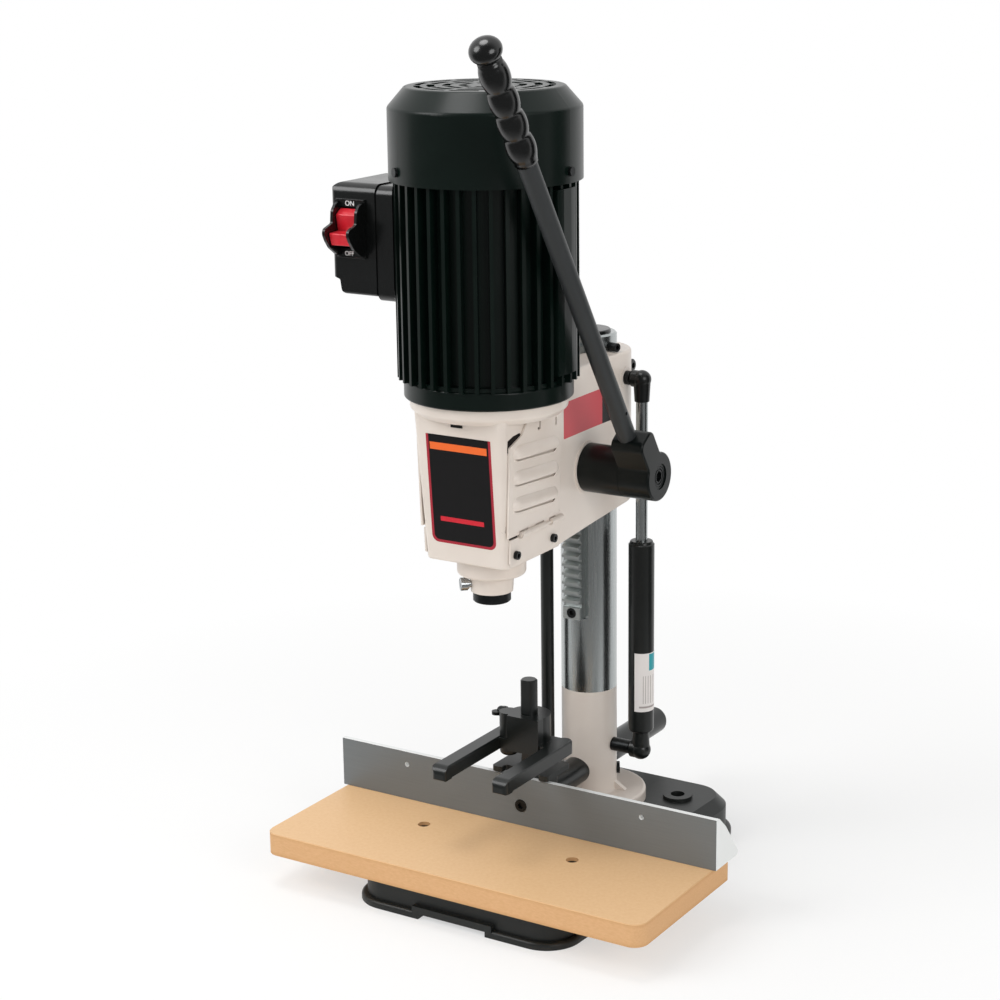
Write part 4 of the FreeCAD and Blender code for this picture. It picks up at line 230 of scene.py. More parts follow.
# %% Black oxide and laminations
black_oxide, tree, shader, place = start_finish("Black oxide on steel", "#1C1E1F", 0.36, 0.7)
clouds = add(tree, "TexNoise", {"Scale": per_mm(3.0), "Detail": 3.0}, {"Vector": place})
tint = add(tree, "Mix", {"data_type": "RGBA", 6: linear("#151718"), 7: linear("#292C2D")},
           {0: clouds.outputs["Fac"]})
sheen = add(tree, "MapRange", {"To Min": 0.26, "To Max": 0.46}, {"Value": clouds.outputs["Fac"]})
grain = add(tree, "TexNoise", {"Scale": per_mm(0.8)}, {"Vector": place})
skin = add(tree, "Bump", {"Distance": 0.006 * MM}, {"Height": grain.outputs["Fac"]})
feed(tree, shader, Base_Color=tint.outputs[2], Roughness=sheen.outputs["Result"],
     Normal=skin.outputs["Normal"])

laminations, tree, shader, place = start_finish("Stacked electrical steel", "#6D6F70", 0.4, 0.9)
sheets = add(tree, "TexWave", {"bands_direction": "Z", "Scale": per_mm(6.3)}, {"Vector": place})
skin = add(tree, "Bump", {"Distance": 0.1 * MM}, {"Height": sheets.outputs["Fac"]})
feed(tree, shader, Normal=skin.outputs["Normal"])
print("made", black_oxide.name, laminations.name)

# %% [markdown]
# **Fibreboard.** The table is medium-density fibreboard. Its pressed faces are smooth
# and honey coloured with a faint mottling of fibres some 3 mm long. Its sawn edges are
# duller, and the denser skin at the top and bottom shows as slightly darker bands, so
# one material reads the surface's normal to know a face from an edge.

# %% Fibreboard
board_low, board_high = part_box("table_board")
SKIN_MM = 3.5
fibreboard, tree, shader, place = start_finish("Sealed fibreboard", "#E3BB8C", 0.5, IOR=1.45)
normal = add(tree, "SeparateXYZ", links={"Vector": add(tree, "NewGeometry").outputs["Normal"]})
up = add(tree, "Math", {"operation": "ABSOLUTE"}, {0: normal.outputs["Z"]})
on_face = add(tree, "MapRange", {"From Min": 0.6, "From Max": 0.8}, {"Value": up.outputs[0]})
mottle = add(tree, "TexNoise", {"Scale": per_mm(3.0), "Detail": 6.0, "Roughness": 0.6}, {"Vector": place})
face = add(tree, "Mix", {"data_type": "RGBA", 6: linear("#DDB181"), 7: linear("#EBC698")},
           {0: mottle.outputs["Fac"]})
along = add(tree, "Mapping", {"Scale": (0.35, 1.0, 1.0)}, {"Vector": place})
fibres = add(tree, "TexNoise", {"Scale": per_mm(1.3), "Detail": 3.0}, {"Vector": along.outputs["Vector"]})
core = add(tree, "Mix", {"data_type": "RGBA", 6: linear("#CD9C69"), 7: linear("#E0B486")},
           {0: fibres.outputs["Fac"]})
height = add(tree, "SeparateXYZ", links={"Vector": place})
top = add(tree, "MapRange",
          {"From Min": board_high.z - SKIN_MM * MM, "From Max": board_high.z, "To Max": 0.6},
          {"Value": height.outputs["Z"]})
foot = add(tree, "MapRange", {"From Min": board_low.z + SKIN_MM * MM, "From Max": board_low.z, "To Max": 0.6},
           {"Value": height.outputs["Z"]})
dense = add(tree, "Math", {"operation": "MAXIMUM"}, {0: top.outputs["Result"], 1: foot.outputs["Result"]})
edge = add(tree, "Mix", {"data_type": "RGBA", 7: linear("#C4935F")},
           {0: dense.outputs[0], 6: core.outputs[2]})
board = add(tree, "Mix", {"data_type": "RGBA"},
            {0: on_face.outputs["Result"], 6: edge.outputs[2], 7: face.outputs[2]})
sheen = add(tree, "MapRange", {"To Min": 0.75, "To Max": 0.45}, {"Value": on_face.outputs["Result"]})
skin = add(tree, "Bump", {"Distance": 0.03 * MM}, {"Height": fibres.outputs["Fac"]})
feed(tree, shader, Base_Color=board.outputs[2], Roughness=sheen.outputs["Result"],
     Normal=skin.outputs["Normal"])
print("made", fibreboard.name, "for a board", [round(v / MM) for v in board_high - board_low], "mm")

# %% [markdown]
# **The fence** is one casting with two finishes: pale enamel on its back, foot and
# ends, and a bare machined face, grey with the cutter's long lines. The face is the
# only surface that looks to the front, so the surface's own normal picks it out.

# %% Fence
fence_iron, tree, shader, place = start_finish("Enamelled iron with a machined face", "#E9EBEA", 0.4, IOR=1.5)
normal = add(tree, "SeparateXYZ", links={"Vector": add(tree, "NewGeometry").outputs["Normal"]})
machined = add(tree, "MapRange", {"From Min": -0.9, "From Max": -0.97}, {"Value": normal.outputs["Y"]})
along = add(tree, "Mapping", {"Scale": (0.02, 1.0, 1.0)}, {"Vector": place})
cutter = add(tree, "TexNoise", {"Scale": per_mm(1.0), "Detail": 2.0}, {"Vector": along.outputs["Vector"]})
bare = add(tree, "Mix", {"data_type": "RGBA", 6: linear("#6B7072"), 7: linear("#74797B")},
           {0: cutter.outputs["Fac"]})
coat = add(tree, "Mix", {"data_type": "RGBA", 6: linear("#E9EBEA")},
           {0: machined.outputs["Result"], 7: bare.outputs[2]})
metal = add(tree, "MapRange", {"To Max": 0.12}, {"Value": machined.outputs["Result"]})
skin = add(tree, "Bump", {"Distance": 0.002 * MM}, {"Height": cutter.outputs["Fac"]})
feed(tree, shader, Base_Color=coat.outputs[2], Metallic=metal.outputs["Result"],
     Normal=skin.outputs["Normal"])
print("made", fence_iron.name)

# %% [markdown]
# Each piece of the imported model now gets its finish, in the material slot it came with.

# %% Give the pieces their finishes
finishes = {
    cream_enamel: ["head_casting", "chisel_socket", "column_foot", "right_door", "left_door", "hinge_leaves"],
    cast_black: ["base_casting", "holddown_bracket"],
    tool_black: ["holddown_fork", "holddown_post", "fence_rod", "depth_stop_rod", "depth_stop_collar",
                 "head_lock_lever"],
    motor_green: ["motor_bell", "motor_body", "motor_top_shield", "fan_cover"],
    hub_black: ["drive_hub", "handle_hub"],
    rod_grey: ["handle_rod"],
    strut_black: ["strut_cylinder", "strut_upper_socket", "strut_lower_socket"],
    box_abs: ["switch_box_base", "switch_box_cover", "switch_bezel", "front_plug", "column_plug",
              "cooling_fan"],
    grip_pvc: ["handle_grip"],
    red_abs: ["switch_paddle", "switch_key"],
    chrome_plate: ["column_tube", "strut_rod"],
    milled_steel: ["rack", "pinion_gear"],
    turned_steel: ["chisel_screw", "bearings", "motor_rotor", "drill_chuck", "chuck_sleeve",
                   "pinion_shaft", "pinion_bushings", "depth_stop_screw"],
    black_oxide: ["foot_bolts", "rod_lock_screw", "table_screws", "column_screws", "fence_bolt",
                  "holddown_thumbscrew", "chisel_bushing", "hinge_screws", "cover_screws", "hub_screw",
                  "strut_upper_stud", "strut_lower_stud"],
    laminations: ["stator"],
    fibreboard: ["table_board"],
    fence_iron: ["fence_casting"],
}
for material, names in finishes.items():
    for name in names:
        for slot in nodes[name].material_slots:
            slot.material = material
bare_nodes = sorted(set(nodes) - {name for names in finishes.values() for name in names})
print("pieces with a finish:", len(nodes) - len(bare_nodes), "still bare:", bare_nodes)

# %% [markdown]
# **Printed vinyl.** Labels are screen-printed film, 0.1 mm thick, pressed on the enamel
# by hand. The film follows the casting's broad unevenness but hides its orange peel,
# so its reflections are calmer than the paint's. One function serves each ink colour.


# %% Vinyl inks
def vinyl(name, code):
    """Printed film in one ink."""
    material, tree, shader, place = start_finish(name, code, 0.32, IOR=1.5, Specular_IOR_Level=0.3)
    casting = add(tree, "TexNoise", {"Scale": per_mm(15)}, {"Vector": place})
    skin = add(tree, "Bump", {"Distance": 0.08 * MM}, {"Height": casting.outputs["Fac"]})
    sheen = add(tree, "MapRange", {"To Min": 0.27, "To Max": 0.37}, {"Value": casting.outputs["Fac"]})
    feed(tree, shader, Roughness=sheen.outputs["Result"], Normal=skin.outputs["Normal"])
    return material


ink_red = vinyl("Dark red printed vinyl", "#A62A38")
ink_rose = vinyl("Rose red printed vinyl", "#C8464E")
ink_black = vinyl("Black printed vinyl", "#171617")
ink_orange = vinyl("Orange printed vinyl", "#EB6A2C")
ink_bright_red = vinyl("Bright red printed vinyl", "#CC2634")
ink_white = vinyl("White printed vinyl", "#E4DFDC")
ink_teal = vinyl("Teal printed vinyl", "#2F9CA6")
ink_grey = vinyl("Grey printed vinyl", "#A59C98")
print("made the inks from", ink_red.name, "to", ink_grey.name)

# %% [markdown]
# **Sticking a label on.** A real label starts as a flat sheet and takes the shape of
# what is under it. Here a face with rounded corners is cut flat, sliced so it can
# bend, and each of its points is dropped straight on to the casting by a ray. Then it
# gets its thickness, outwards. That seats it on any slope without working the slope out
# first. Its underside stays 0.02 mm off the paint, which is the glue.


# %% Cut and stick flat sheets
def surface_of(*names):
    """Search trees of some nodes, for rays to hit."""
    return [BVHTree.FromPolygons([v.co for v in nodes[name].data.vertices],
                                 [p.vertices for p in nodes[name].data.polygons]) for name in names]


def make_piece(name, bm, material, body):
    """Turn a finished bmesh into an object that rides on a body of the frame."""
    mesh = bpy.data.meshes.new(name)
    bm.to_mesh(mesh)
    bm.free()
    mesh.materials.append(material)
    piece = bpy.data.objects.new(name, mesh)
    bpy.context.scene.collection.objects.link(piece)
    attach(piece, body)
    return piece


# The way that something travels to reach the front, the right or the left of the machine.
FRONT, RIGHT, LEFT = Vector((0, 1, 0)), Vector((-1, 0, 0)), Vector((1, 0, 0))
OUTSIDE = 0.4
FILM_MM, GLUE_MM = 0.1, 0.02


def outside(a, b, toward):
    """A point beyond the machine, a mm along the wall and b mm up."""
    if toward == FRONT:
        return Vector((a * MM, -OUTSIDE, b * MM))
    return Vector((-toward.x * OUTSIDE, a * MM, b * MM))


def rectangle(near, low, far, top):
    """Four corners, the lower two first."""
    return [(near, low), (far, low), (far, top), (near, top)]


def flat_sheet(corners, rounding, slices, toward):
    """A face through (a, b) corners in mm, a along the wall and b up, some corners rounded."""
    bm = bmesh.new()
    ring = [bm.verts.new(outside(a, b, toward)) for a, b in corners]
    bm.faces.new(ring)
    for index, radius in rounding.items():
        bmesh.ops.bevel(bm, geom=[ring[index]], offset=radius * MM, segments=6, profile=0.5,
                        affect="VERTICES", material=-1)
    for spot, direction in slices:
        bmesh.ops.bisect_plane(bm, geom=bm.verts[:] + bm.edges[:] + bm.faces[:],
                               plane_co=spot, plane_no=direction)
    bmesh.ops.triangulate(bm, faces=bm.faces[:])
    return bm


def dropped(surfaces, toward, lift_mm):
    """A seat: it drops a point straight on to the nearest surface, and stops short by a lift."""
    def seat(point):
        hits = [tree.ray_cast(point, toward) for tree in surfaces]
        near = min((hit for hit in hits if hit[0]), key=lambda hit: hit[3])
        return near[0] - toward * lift_mm * MM
    return seat


def stick(name, corners, rounding, seat, toward, material, body, slices=()):
    """Move each point of a flat sheet to its seat, and give the sheet its thickness."""
    bm = flat_sheet(corners, rounding, slices, toward)
    for vert in bm.verts:
        vert.co = seat(vert.co)
    bmesh.ops.recalc_face_normals(bm, faces=bm.faces[:])
    bm.faces.ensure_lookup_table()
    if bm.faces[0].normal.dot(toward) > 0:
        bmesh.ops.reverse_faces(bm, faces=bm.faces[:])
    bmesh.ops.solidify(bm, geom=bm.faces[:], thickness=FILM_MM * MM)
    piece = make_piece(name, bm, material, body)
    print(name, len(piece.data.polygons), "faces")


head_skin = surface_of("head_casting")
print("search tree of the head:", head_skin[0])

# %% [markdown]
# **The front panel.** A black panel with a dark red border sits on the front of the
# head. Its top edge is square and its two lower corners are rounded. It is a plain
# design: a border, a field, an orange band near the top and a red bar near the foot.
# Each ink is a sheet a little above the last, as the printed layers are.

# %% Front panel
PANEL_HALF, PANEL_LOW, PANEL_TOP = 29.6, 312.8, 401.3
BORDER, BORDER_ROUND, FIELD_ROUND = 2.3, 6.0, 4.4
FIELD_HALF = PANEL_HALF - BORDER
INK_STEP = 0.11
on_paint, over_border, over_field = [dropped(head_skin, FRONT, GLUE_MM + layer * INK_STEP)
                                     for layer in range(3)]
stick("panel_border", rectangle(-PANEL_HALF, PANEL_LOW, PANEL_HALF, PANEL_TOP),
      {0: BORDER_ROUND, 1: BORDER_ROUND}, on_paint, FRONT, ink_red, "head")
stick("panel_field", rectangle(-FIELD_HALF, PANEL_LOW + BORDER, FIELD_HALF, PANEL_TOP),
      {0: FIELD_ROUND, 1: FIELD_ROUND}, over_border, FRONT, ink_black, "head")
stick("panel_band", rectangle(-26.2, 389.2, 25.8, 395.0), {}, over_field, FRONT, ink_orange,
      "head")
stick("panel_bar", rectangle(-20.4, 331.0, 19.6, 334.8), {}, over_field, FRONT, ink_bright_red,
      "head")

# %% [markdown]
# **The stripe on the arm.** A rose red field and a black one run along the right side
# of the arm, under the motor's flange. The arm bends out a little towards the front,
# so the sheet is sliced every 10 mm to let it bend too.

# %% Arm stripe
STRIPE_LOW, STRIPE_TOP, STRIPE_ROUND = 383.0, 412.6, 1.0
STRIPE_FRONT, STRIPE_CHANGE, STRIPE_BACK = -103.3, -39.8, -14.0
SLICE_MM = 10
on_arm = dropped(head_skin, RIGHT, GLUE_MM)
arm_slices = [((0, y * MM, 0), (0, 1, 0)) for y in range(-100, 0, SLICE_MM)]
stick("arm_stripe_red", rectangle(STRIPE_FRONT, STRIPE_LOW, STRIPE_CHANGE, STRIPE_TOP), {0: STRIPE_ROUND},
      on_arm, RIGHT, ink_rose, "head", arm_slices)
stick("arm_stripe_black", rectangle(STRIPE_CHANGE, STRIPE_LOW, STRIPE_BACK, STRIPE_TOP), {1: STRIPE_ROUND},
      on_arm, RIGHT, ink_black, "head", arm_slices)

# %% [markdown]
# ** What shows round the doors.** A thin black film is laid round each sheet-metal door
# as painted shade: it stands for the shadow in the gaps and openings at the door's front
# edge, under its cut corner and at the front of its hinge, and in its two catch slots.
# Inside each door a liner of the same sheet closes its louvres against chips, and a sill
# closes the slit over the hinge. They lie in the 0.35 mm between door and casting, so
# their seat is the plane of the casting's side, found with two rays. Only the edge strip
# follows the rounded nose.


# %% Painted gap shade, liners and sills
WALL_Y, WALL_LOW, WALL_TOP = -150, 306, 404
STRIP_OUT, LINER_OUT = 0.12, 0.24


def on_wall(toward, out_mm):
    """A seat on the plane of the head's side wall, a little out from it."""
    low, high = [dropped(head_skin, toward, 0)(outside(WALL_Y, z, toward)) for z in (WALL_LOW, WALL_TOP)]
    slope = (high.x - low.x) / (high.z - low.z)

    def seat(point):
        return Vector((low.x + slope * (point.z - low.z) - toward.x * out_mm * MM, point.y, point.z))
    return seat


# A black film as painted shade: its dark stands for the shadow in the gaps round each door.
shade_film, tree, shader, place = start_finish("Black film as painted gap shade", "#1B1614", 0.8, Specular_IOR_Level=0.2)
cells = add(tree, "TexVoronoi", {"Scale": per_mm(0.8)}, {"Vector": place})
skin = add(tree, "Bump", {"Distance": 0.1 * MM}, {"Height": cells.outputs["Distance"]})
feed(tree, shader, Normal=skin.outputs["Normal"])

# Where the painted shade goes on each side: the door's edge gap, its cut corner, its hinge and its two catch
# slots.
painted_shade_shapes = {
    "edge": rectangle(-194.9, 328.0, -193.4, 397.0),
    "corner": [(-194.9, 395.5), (-175.6, 402.4), (-177.5, 404.4), (-187.0, 403.6), (-194.6, 401.2)],
    "hinge": rectangle(-190.2, 321.3, -178.3, 324.2),
    "slot_front": rectangle(-153.9, 401.2, -148.2, 410.6),
    "slot_rear": rectangle(-127.4, 400.0, -123.6, 408.0),
}
for side, toward in (("right", RIGHT), ("left", LEFT)):
    for shape, corners in painted_shade_shapes.items():
        place_on = dropped(head_skin, toward, STRIP_OUT) if shape == "edge" else on_wall(toward, STRIP_OUT)
        stick(f"{side}_foam_{shape}", corners, {}, place_on, toward, shade_film, "head")
    stick(f"{side}_door_liner", rectangle(-190.8, 333.0, -119.5, 394.0), {}, on_wall(toward, LINER_OUT),
          toward, cream_enamel, f"door_{side}")
    stick(f"{side}_hinge_sill", rectangle(-178.2, 322.6, -116.0, 329.0), {}, on_wall(toward, STRIP_OUT),
          toward, cream_enamel, "head")

# %% [markdown]
# **The strut's sticker** wraps half round the tube. A vertical edge spun about the
# tube's axis gives exactly that shape. A teal patch and a few fine stripes are shorter
# arcs a little further out.

# %% Strut sticker
tube_low, tube_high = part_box("strut_cylinder")
tube_middle = (tube_low + tube_high) / 2
TUBE_R = (tube_high.x - tube_low.x) / 2
WRAP_OUT, WRAP_MM = 0.1, 0.08
FACET_DEG = 7


def wrap(name, low, high, first, last, lift_mm, material):
    """A thin sheet round the strut's tube, between two heights and two angles from the front."""
    bm = bmesh.new()
    front_y = tube_middle.y - TUBE_R - lift_mm * MM
    ends = [bm.verts.new((tube_middle.x, front_y, z * MM)) for z in (low, high)]
    edge = bm.edges.new(ends)
    centre = (tube_middle.x, tube_middle.y, 0)
    bmesh.ops.rotate(bm, verts=bm.verts, cent=centre, matrix=Matrix.Rotation(math.radians(first), 3, "Z"))
    steps = max(2, round((last - first) / FACET_DEG))
    bmesh.ops.spin(bm, geom=ends + [edge], cent=centre, axis=(0, 0, 1), angle=math.radians(last - first),
                   steps=steps)
    bmesh.ops.recalc_face_normals(bm, faces=bm.faces[:])
    bm.faces.ensure_lookup_table()
    face = bm.faces[0]
    out = face.calc_center_median() - Vector((tube_middle.x, tube_middle.y, face.calc_center_median().z))
    if face.normal.dot(out) < 0:
        bmesh.ops.reverse_faces(bm, faces=bm.faces[:])
    bmesh.ops.solidify(bm, geom=bm.faces[:], thickness=WRAP_MM * MM)
    piece = make_piece(name, bm, material, "base")
    print(name, len(piece.data.polygons), "faces")


PRINT_OUT = WRAP_OUT + WRAP_MM
STRIPE_ANGLES, STRIPE_DEG = (37, 48, 60, 74, 92), 2.4
wrap("strut_sticker", 126.0, 178.4, -2, 176, WRAP_OUT, ink_white)
wrap("strut_sticker_patch", 162.8, 177.6, 66, 120, PRINT_OUT, ink_teal)
for index, angle in enumerate(STRIPE_ANGLES):
    wrap(f"strut_sticker_stripe_{index}", 133.4, 158.3, angle, angle + STRIPE_DEG, PRINT_OUT, ink_grey)
wrap("strut_sticker_rule", 129.4, 131.0, 20, 110, PRINT_OUT, ink_grey)

# %% [markdown]
# **ON and OFF.** The switch needs its two words, printed white on the plate above and
# below the rocker. Text starts as a curve, is made a mesh, and only then stood upright
# in its place, so that the piece's object stays at the origin.

# %% Switch lettering
switch_skin = surface_of("switch_bezel", "switch_box_cover")
lettering = vinyl("White pad print", "#E9E9E8")
ON_AT, OFF_AT = (-100.9, 573.5), (-102.5, 534.4)
ON_HIGH, OFF_HIGH = 3.9, 3.5
CAPITAL = 0.7  # the height of a capital letter, as a share of the font's size
WORD_HALF, WORD_SWELL, WORD_OUT = 0.05, 0.05, 0.06


def print_word(name, word, centre, height_mm):
    """Raised print of a word, on the first surface behind its centre."""
    curve = bpy.data.curves.new(name, "FONT")
    curve.body = word
    curve.align_x, curve.align_y = "CENTER", "CENTER"
    curve.size = height_mm * MM / CAPITAL
    curve.offset = WORD_SWELL * MM
    curve.extrude = WORD_HALF * MM
    text = bpy.data.objects.new(name + "_text", curve)
    bpy.context.scene.collection.objects.link(text)
    mesh = bpy.data.meshes.new_from_object(text)
    bpy.data.objects.remove(text)
    bm = bmesh.new()
    bm.from_mesh(mesh)
    bpy.data.meshes.remove(mesh)
    spot = dropped(switch_skin, FRONT, WORD_OUT)(outside(*centre, FRONT))
    stand = Matrix.Translation(spot) @ Matrix.Rotation(math.radians(90), 4, "X")
    bmesh.ops.transform(bm, matrix=stand, verts=bm.verts)
    bmesh.ops.remove_doubles(bm, verts=bm.verts, dist=1e-6)
    make_piece(name, bm, lettering, "head")
    print(name, "stands at y", round(spot.y / MM, 2))


print_word("switch_word_on", "ON", ON_AT, ON_HIGH)
print_word("switch_word_off", "OFF", OFF_AT, OFF_HIGH)

# %% [markdown]
# **Rims on the switch plate.** A moulded lip runs along the plate's top and bottom. It
# is a bar with rounded edges, which catch a line of light.


# %% Switch rims
RIM_ROUND, RIM_HALF = 0.35, 0.6
RIM_OUT, RIM_IN, RIM_SHORT = 0.9, 0.2, 0.4
RIM_TOP_Z, RIM_FOOT_Z, PLATE_MIDDLE_X = 576.4, 531.6, -100.6


def rim(name, low, high):
    """A bar between two corners in mm, its edges rounded."""
    bm = bmesh.new()
    bmesh.ops.create_cube(bm, size=1.0)
    size = [(b - a) * MM for a, b in zip(low, high)]
    bmesh.ops.scale(bm, vec=size, verts=bm.verts)
    bmesh.ops.bevel(bm, geom=bm.edges[:], offset=RIM_ROUND * MM, segments=4, profile=0.5,
                    affect="EDGES", material=-1)
    bmesh.ops.translate(bm, vec=[(a + b) / 2 * MM for a, b in zip(low, high)], verts=bm.verts)
    make_piece(name, bm, box_abs, "head")
    print(name, [round(v / MM, 1) for v in size], "mm")


plate_low, plate_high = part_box("switch_bezel")
rim_left, rim_right = plate_low.x / MM + RIM_SHORT, plate_high.x / MM - RIM_SHORT
for end, z, (_, word_z) in (("top", RIM_TOP_Z, ON_AT), ("bottom", RIM_FOOT_Z, OFF_AT)):
    y = dropped(switch_skin, FRONT, 0)(outside(PLATE_MIDDLE_X, word_z, FRONT)).y / MM
    rim(f"switch_rim_{end}", (rim_left, y - RIM_OUT, z - RIM_HALF), (rim_right, y + RIM_IN, z + RIM_HALF))

# %% [markdown]
# **The hand grip.** A dipped PVC grip ends in a flattened knob and has four finger
# rolls that meet in sharp creases. A lathe shape like this is one profile spun round
# its axis. It is modelled upright at the origin, then leaned over to the handle's line.

# %% Hand grip
GRIP_BASE = Vector((85.4, -235.4, 619.22)) * MM
HANDLE_LEAN = math.radians(32.6)
GRIP_AXIS = Vector((0, -math.sin(HANDLE_LEAN), math.cos(HANDLE_LEAN)))
MOUTH = [(7.6, 0.0), (8.9, 0.4), (9.1, 3.0)]
ROLLS, ROLL_FIRST, ROLL_STEP = 4, 3.9, 20.45
CREASE_R, ROLL_R, ROLL_CURVE = 9.15, 11.1, 0.8  # a curve under 1 makes fuller rolls and sharper creases
NECK_R, NECK_BELOW = 9.0, 8.4
KNOB_AT, KNOB_R, KNOB_HALF = 97.0, 12.1, 9.4
ROLL_STEPS, KNOB_STEPS, KNOB_FIRST, GRIP_FACETS = 12, 16, 3, 48
profile = list(MOUTH)
for roll in range(ROLLS):
    start = ROLL_FIRST + roll * ROLL_STEP
    for step in range(1, ROLL_STEPS):
        share = step / ROLL_STEPS
        radius = CREASE_R + (ROLL_R - CREASE_R) * math.sin(math.pi * share) ** ROLL_CURVE
        profile.append((radius, start + share * ROLL_STEP))
    profile.append((CREASE_R, start + ROLL_STEP))
profile.append((NECK_R, KNOB_AT - NECK_BELOW))
for step in range(KNOB_FIRST, KNOB_STEPS):
    angle = math.radians(-90 + step * 180 / KNOB_STEPS)
    profile.append((KNOB_R * math.cos(angle), KNOB_AT + KNOB_HALF * math.sin(angle)))
bm = bmesh.new()
line = [bm.verts.new((radius * MM, 0, z * MM)) for radius, z in profile]
line.append(bm.verts.new((0, 0, (KNOB_AT + KNOB_HALF) * MM)))
edges = [bm.edges.new(pair) for pair in zip(line, line[1:])]
bmesh.ops.spin(bm, geom=line + edges, cent=(0, 0, 0), axis=(0, 0, 1), angle=math.tau,
               steps=GRIP_FACETS, use_merge=True)
bmesh.ops.remove_doubles(bm, verts=bm.verts, dist=1e-6)
bmesh.ops.holes_fill(bm, edges=[e for e in bm.edges if e.is_boundary], sides=0)
bmesh.ops.recalc_face_normals(bm, faces=bm.faces[:])
for face in bm.faces:
    face.smooth = len(face.verts) <= 4
lean = Vector((0, 0, 1)).rotation_difference(GRIP_AXIS).to_matrix().to_4x4()
bmesh.ops.transform(bm, matrix=Matrix.Translation(GRIP_BASE) @ lean, verts=bm.verts)
grip = make_piece("hand_grip", bm, grip_pvc, "handle")
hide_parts("handle_grip")
print("hand grip:", len(grip.data.polygons), "faces,", ROLLS, "rolls")

# %% [markdown]
# **Rack teeth.** The rack is drawn with whole teeth over its middle screw. A short block
# with the same tooth profile fills the place of the screw's hole, and a copy of the
# column's screws leaves that one out.

# %% Rack teeth over the middle screw
TOOTH_PITCH, TIP_Y, ROOT_Y = 7.854, -32.03, -26.405
HALF_TIP, HALF_ROOT = 1.06, 3.11
TOOTH_Z = 261.68
BLOCK_BACK_Y, BLOCK_LOW, BLOCK_TOP, BLOCK_HALF = -25.9, 257.76, 273.46, 4.7
SCREW_Z, SCREW_REACH = 264.0, 6.0
line = [(BLOCK_BACK_Y, BLOCK_LOW), (ROOT_Y, BLOCK_LOW)]
for middle in (TOOTH_Z, TOOTH_Z + TOOTH_PITCH):
    line += [(ROOT_Y, middle - HALF_ROOT), (TIP_Y, middle - HALF_TIP), (TIP_Y, middle + HALF_TIP),
             (ROOT_Y, middle + HALF_ROOT)]
line += [(ROOT_Y, BLOCK_TOP), (BLOCK_BACK_Y, BLOCK_TOP)]
bm = bmesh.new()
face = bm.faces.new([bm.verts.new((-BLOCK_HALF * MM, y * MM, z * MM)) for y, z in line])
pulled = bmesh.ops.extrude_face_region(bm, geom=[face])
far_side = [v for v in pulled["geom"] if isinstance(v, bmesh.types.BMVert)]
bmesh.ops.translate(bm, vec=(2 * BLOCK_HALF * MM, 0, 0), verts=far_side)
bmesh.ops.recalc_face_normals(bm, faces=bm.faces[:])
make_piece("rack_teeth", bm, milled_steel, "base")

bm = bmesh.new()
bm.from_mesh(nodes["column_screws"].data)
bmesh.ops.remove_doubles(bm, verts=bm.verts, dist=1e-6)
sunk = [v for v in bm.verts if abs(v.co.z - SCREW_Z * MM) < SCREW_REACH * MM]
bmesh.ops.delete(bm, geom=sunk, context="VERTS")
screws = make_piece("column_screw_set", bm, black_oxide, "base")
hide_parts("column_screws")
print("rack teeth and screws:", len(screws.data.polygons), "faces of screws left")

# %% [markdown]
# **Studio.** A white sweep with a large soft lamp high on the left, a weaker one on the
# right and one overhead. The lamps are sized so that a surface that faces them shows
# about its own colour. The room behind the camera is dim: a mirror-like surface shows
# the room, and black enamel stays black only where it mirrors something dark.


# %% World
def straight_rays(tree):
    """The kind of each ray, and whether it comes straight from the camera or through glass."""
    path = add(tree, "LightPath")
    seen = add(tree, "Math", {"operation": "MAXIMUM"},
               {0: path.outputs["Is Camera Ray"], 1: path.outputs["Is Transmission Ray"]})
    return path, seen


bpy.context.scene.view_settings.view_transform = "Standard"
AMBIENT = 0.5
ROOM_SIDE = Vector((0.35, -0.94, 0.0))
ROOM_LEVEL, ROOM_EDGE, ROOM_DEEP = 0.22, -0.1, 0.5
world = bpy.data.worlds.new("Studio")
bpy.context.scene.world = world
world.use_nodes = True
tree = world.node_tree
tree.nodes.clear()
path, seen = straight_rays(tree)
place = add(tree, "TexCoord").outputs["Generated"]
toward_room = add(tree, "VectorMath", {"operation": "DOT_PRODUCT", 1: ROOM_SIDE}, {0: place})
mirrored = add(tree, "MapRange",
               {"From Min": ROOM_EDGE, "From Max": ROOM_DEEP, "To Min": 1.0, "To Max": ROOM_LEVEL},
               {"Value": toward_room.outputs["Value"]})
glossy = add(tree, "Mix", {"data_type": "FLOAT", 2: AMBIENT},
             {0: path.outputs["Is Glossy Ray"], 3: mirrored.outputs["Result"]})
level = add(tree, "Mix", {"data_type": "FLOAT", 3: 1.0}, {0: seen.outputs[0], 2: glossy.outputs[0]})
background = add(tree, "Background", {"Color": (1, 1, 1, 1)}, {"Strength": level.outputs[0]})
add(tree, "OutputWorld", links={"Surface": background.outputs[0]})
print("world:", len(tree.nodes), "nodes")

# %% [markdown]
# **The floor** is white paint where the machine stands, so it keeps the shadow, and
# fades to plain white light further out, so no horizon shows. Mirrored in the machine
# it fades to the dim side of the room instead.

# %% Floor
FLOOR_HALF, FLOOR_DROP = 20.0, 0.0004
FADE_FROM, FADE_TO, FADE_FIRST = 0.25, 0.75, 0.55
DIM_FROM, DIM_TO = 0.1, 0.45
bm = bmesh.new()
bmesh.ops.create_grid(bm, x_segments=1, y_segments=1, size=FLOOR_HALF)
bmesh.ops.translate(bm, verts=bm.verts, vec=(0, 0, -FLOOR_DROP))
mesh = bpy.data.meshes.new("floor")
bm.to_mesh(mesh)
bm.free()
floor = bpy.data.objects.new("floor", mesh)
bpy.context.scene.collection.objects.link(floor)

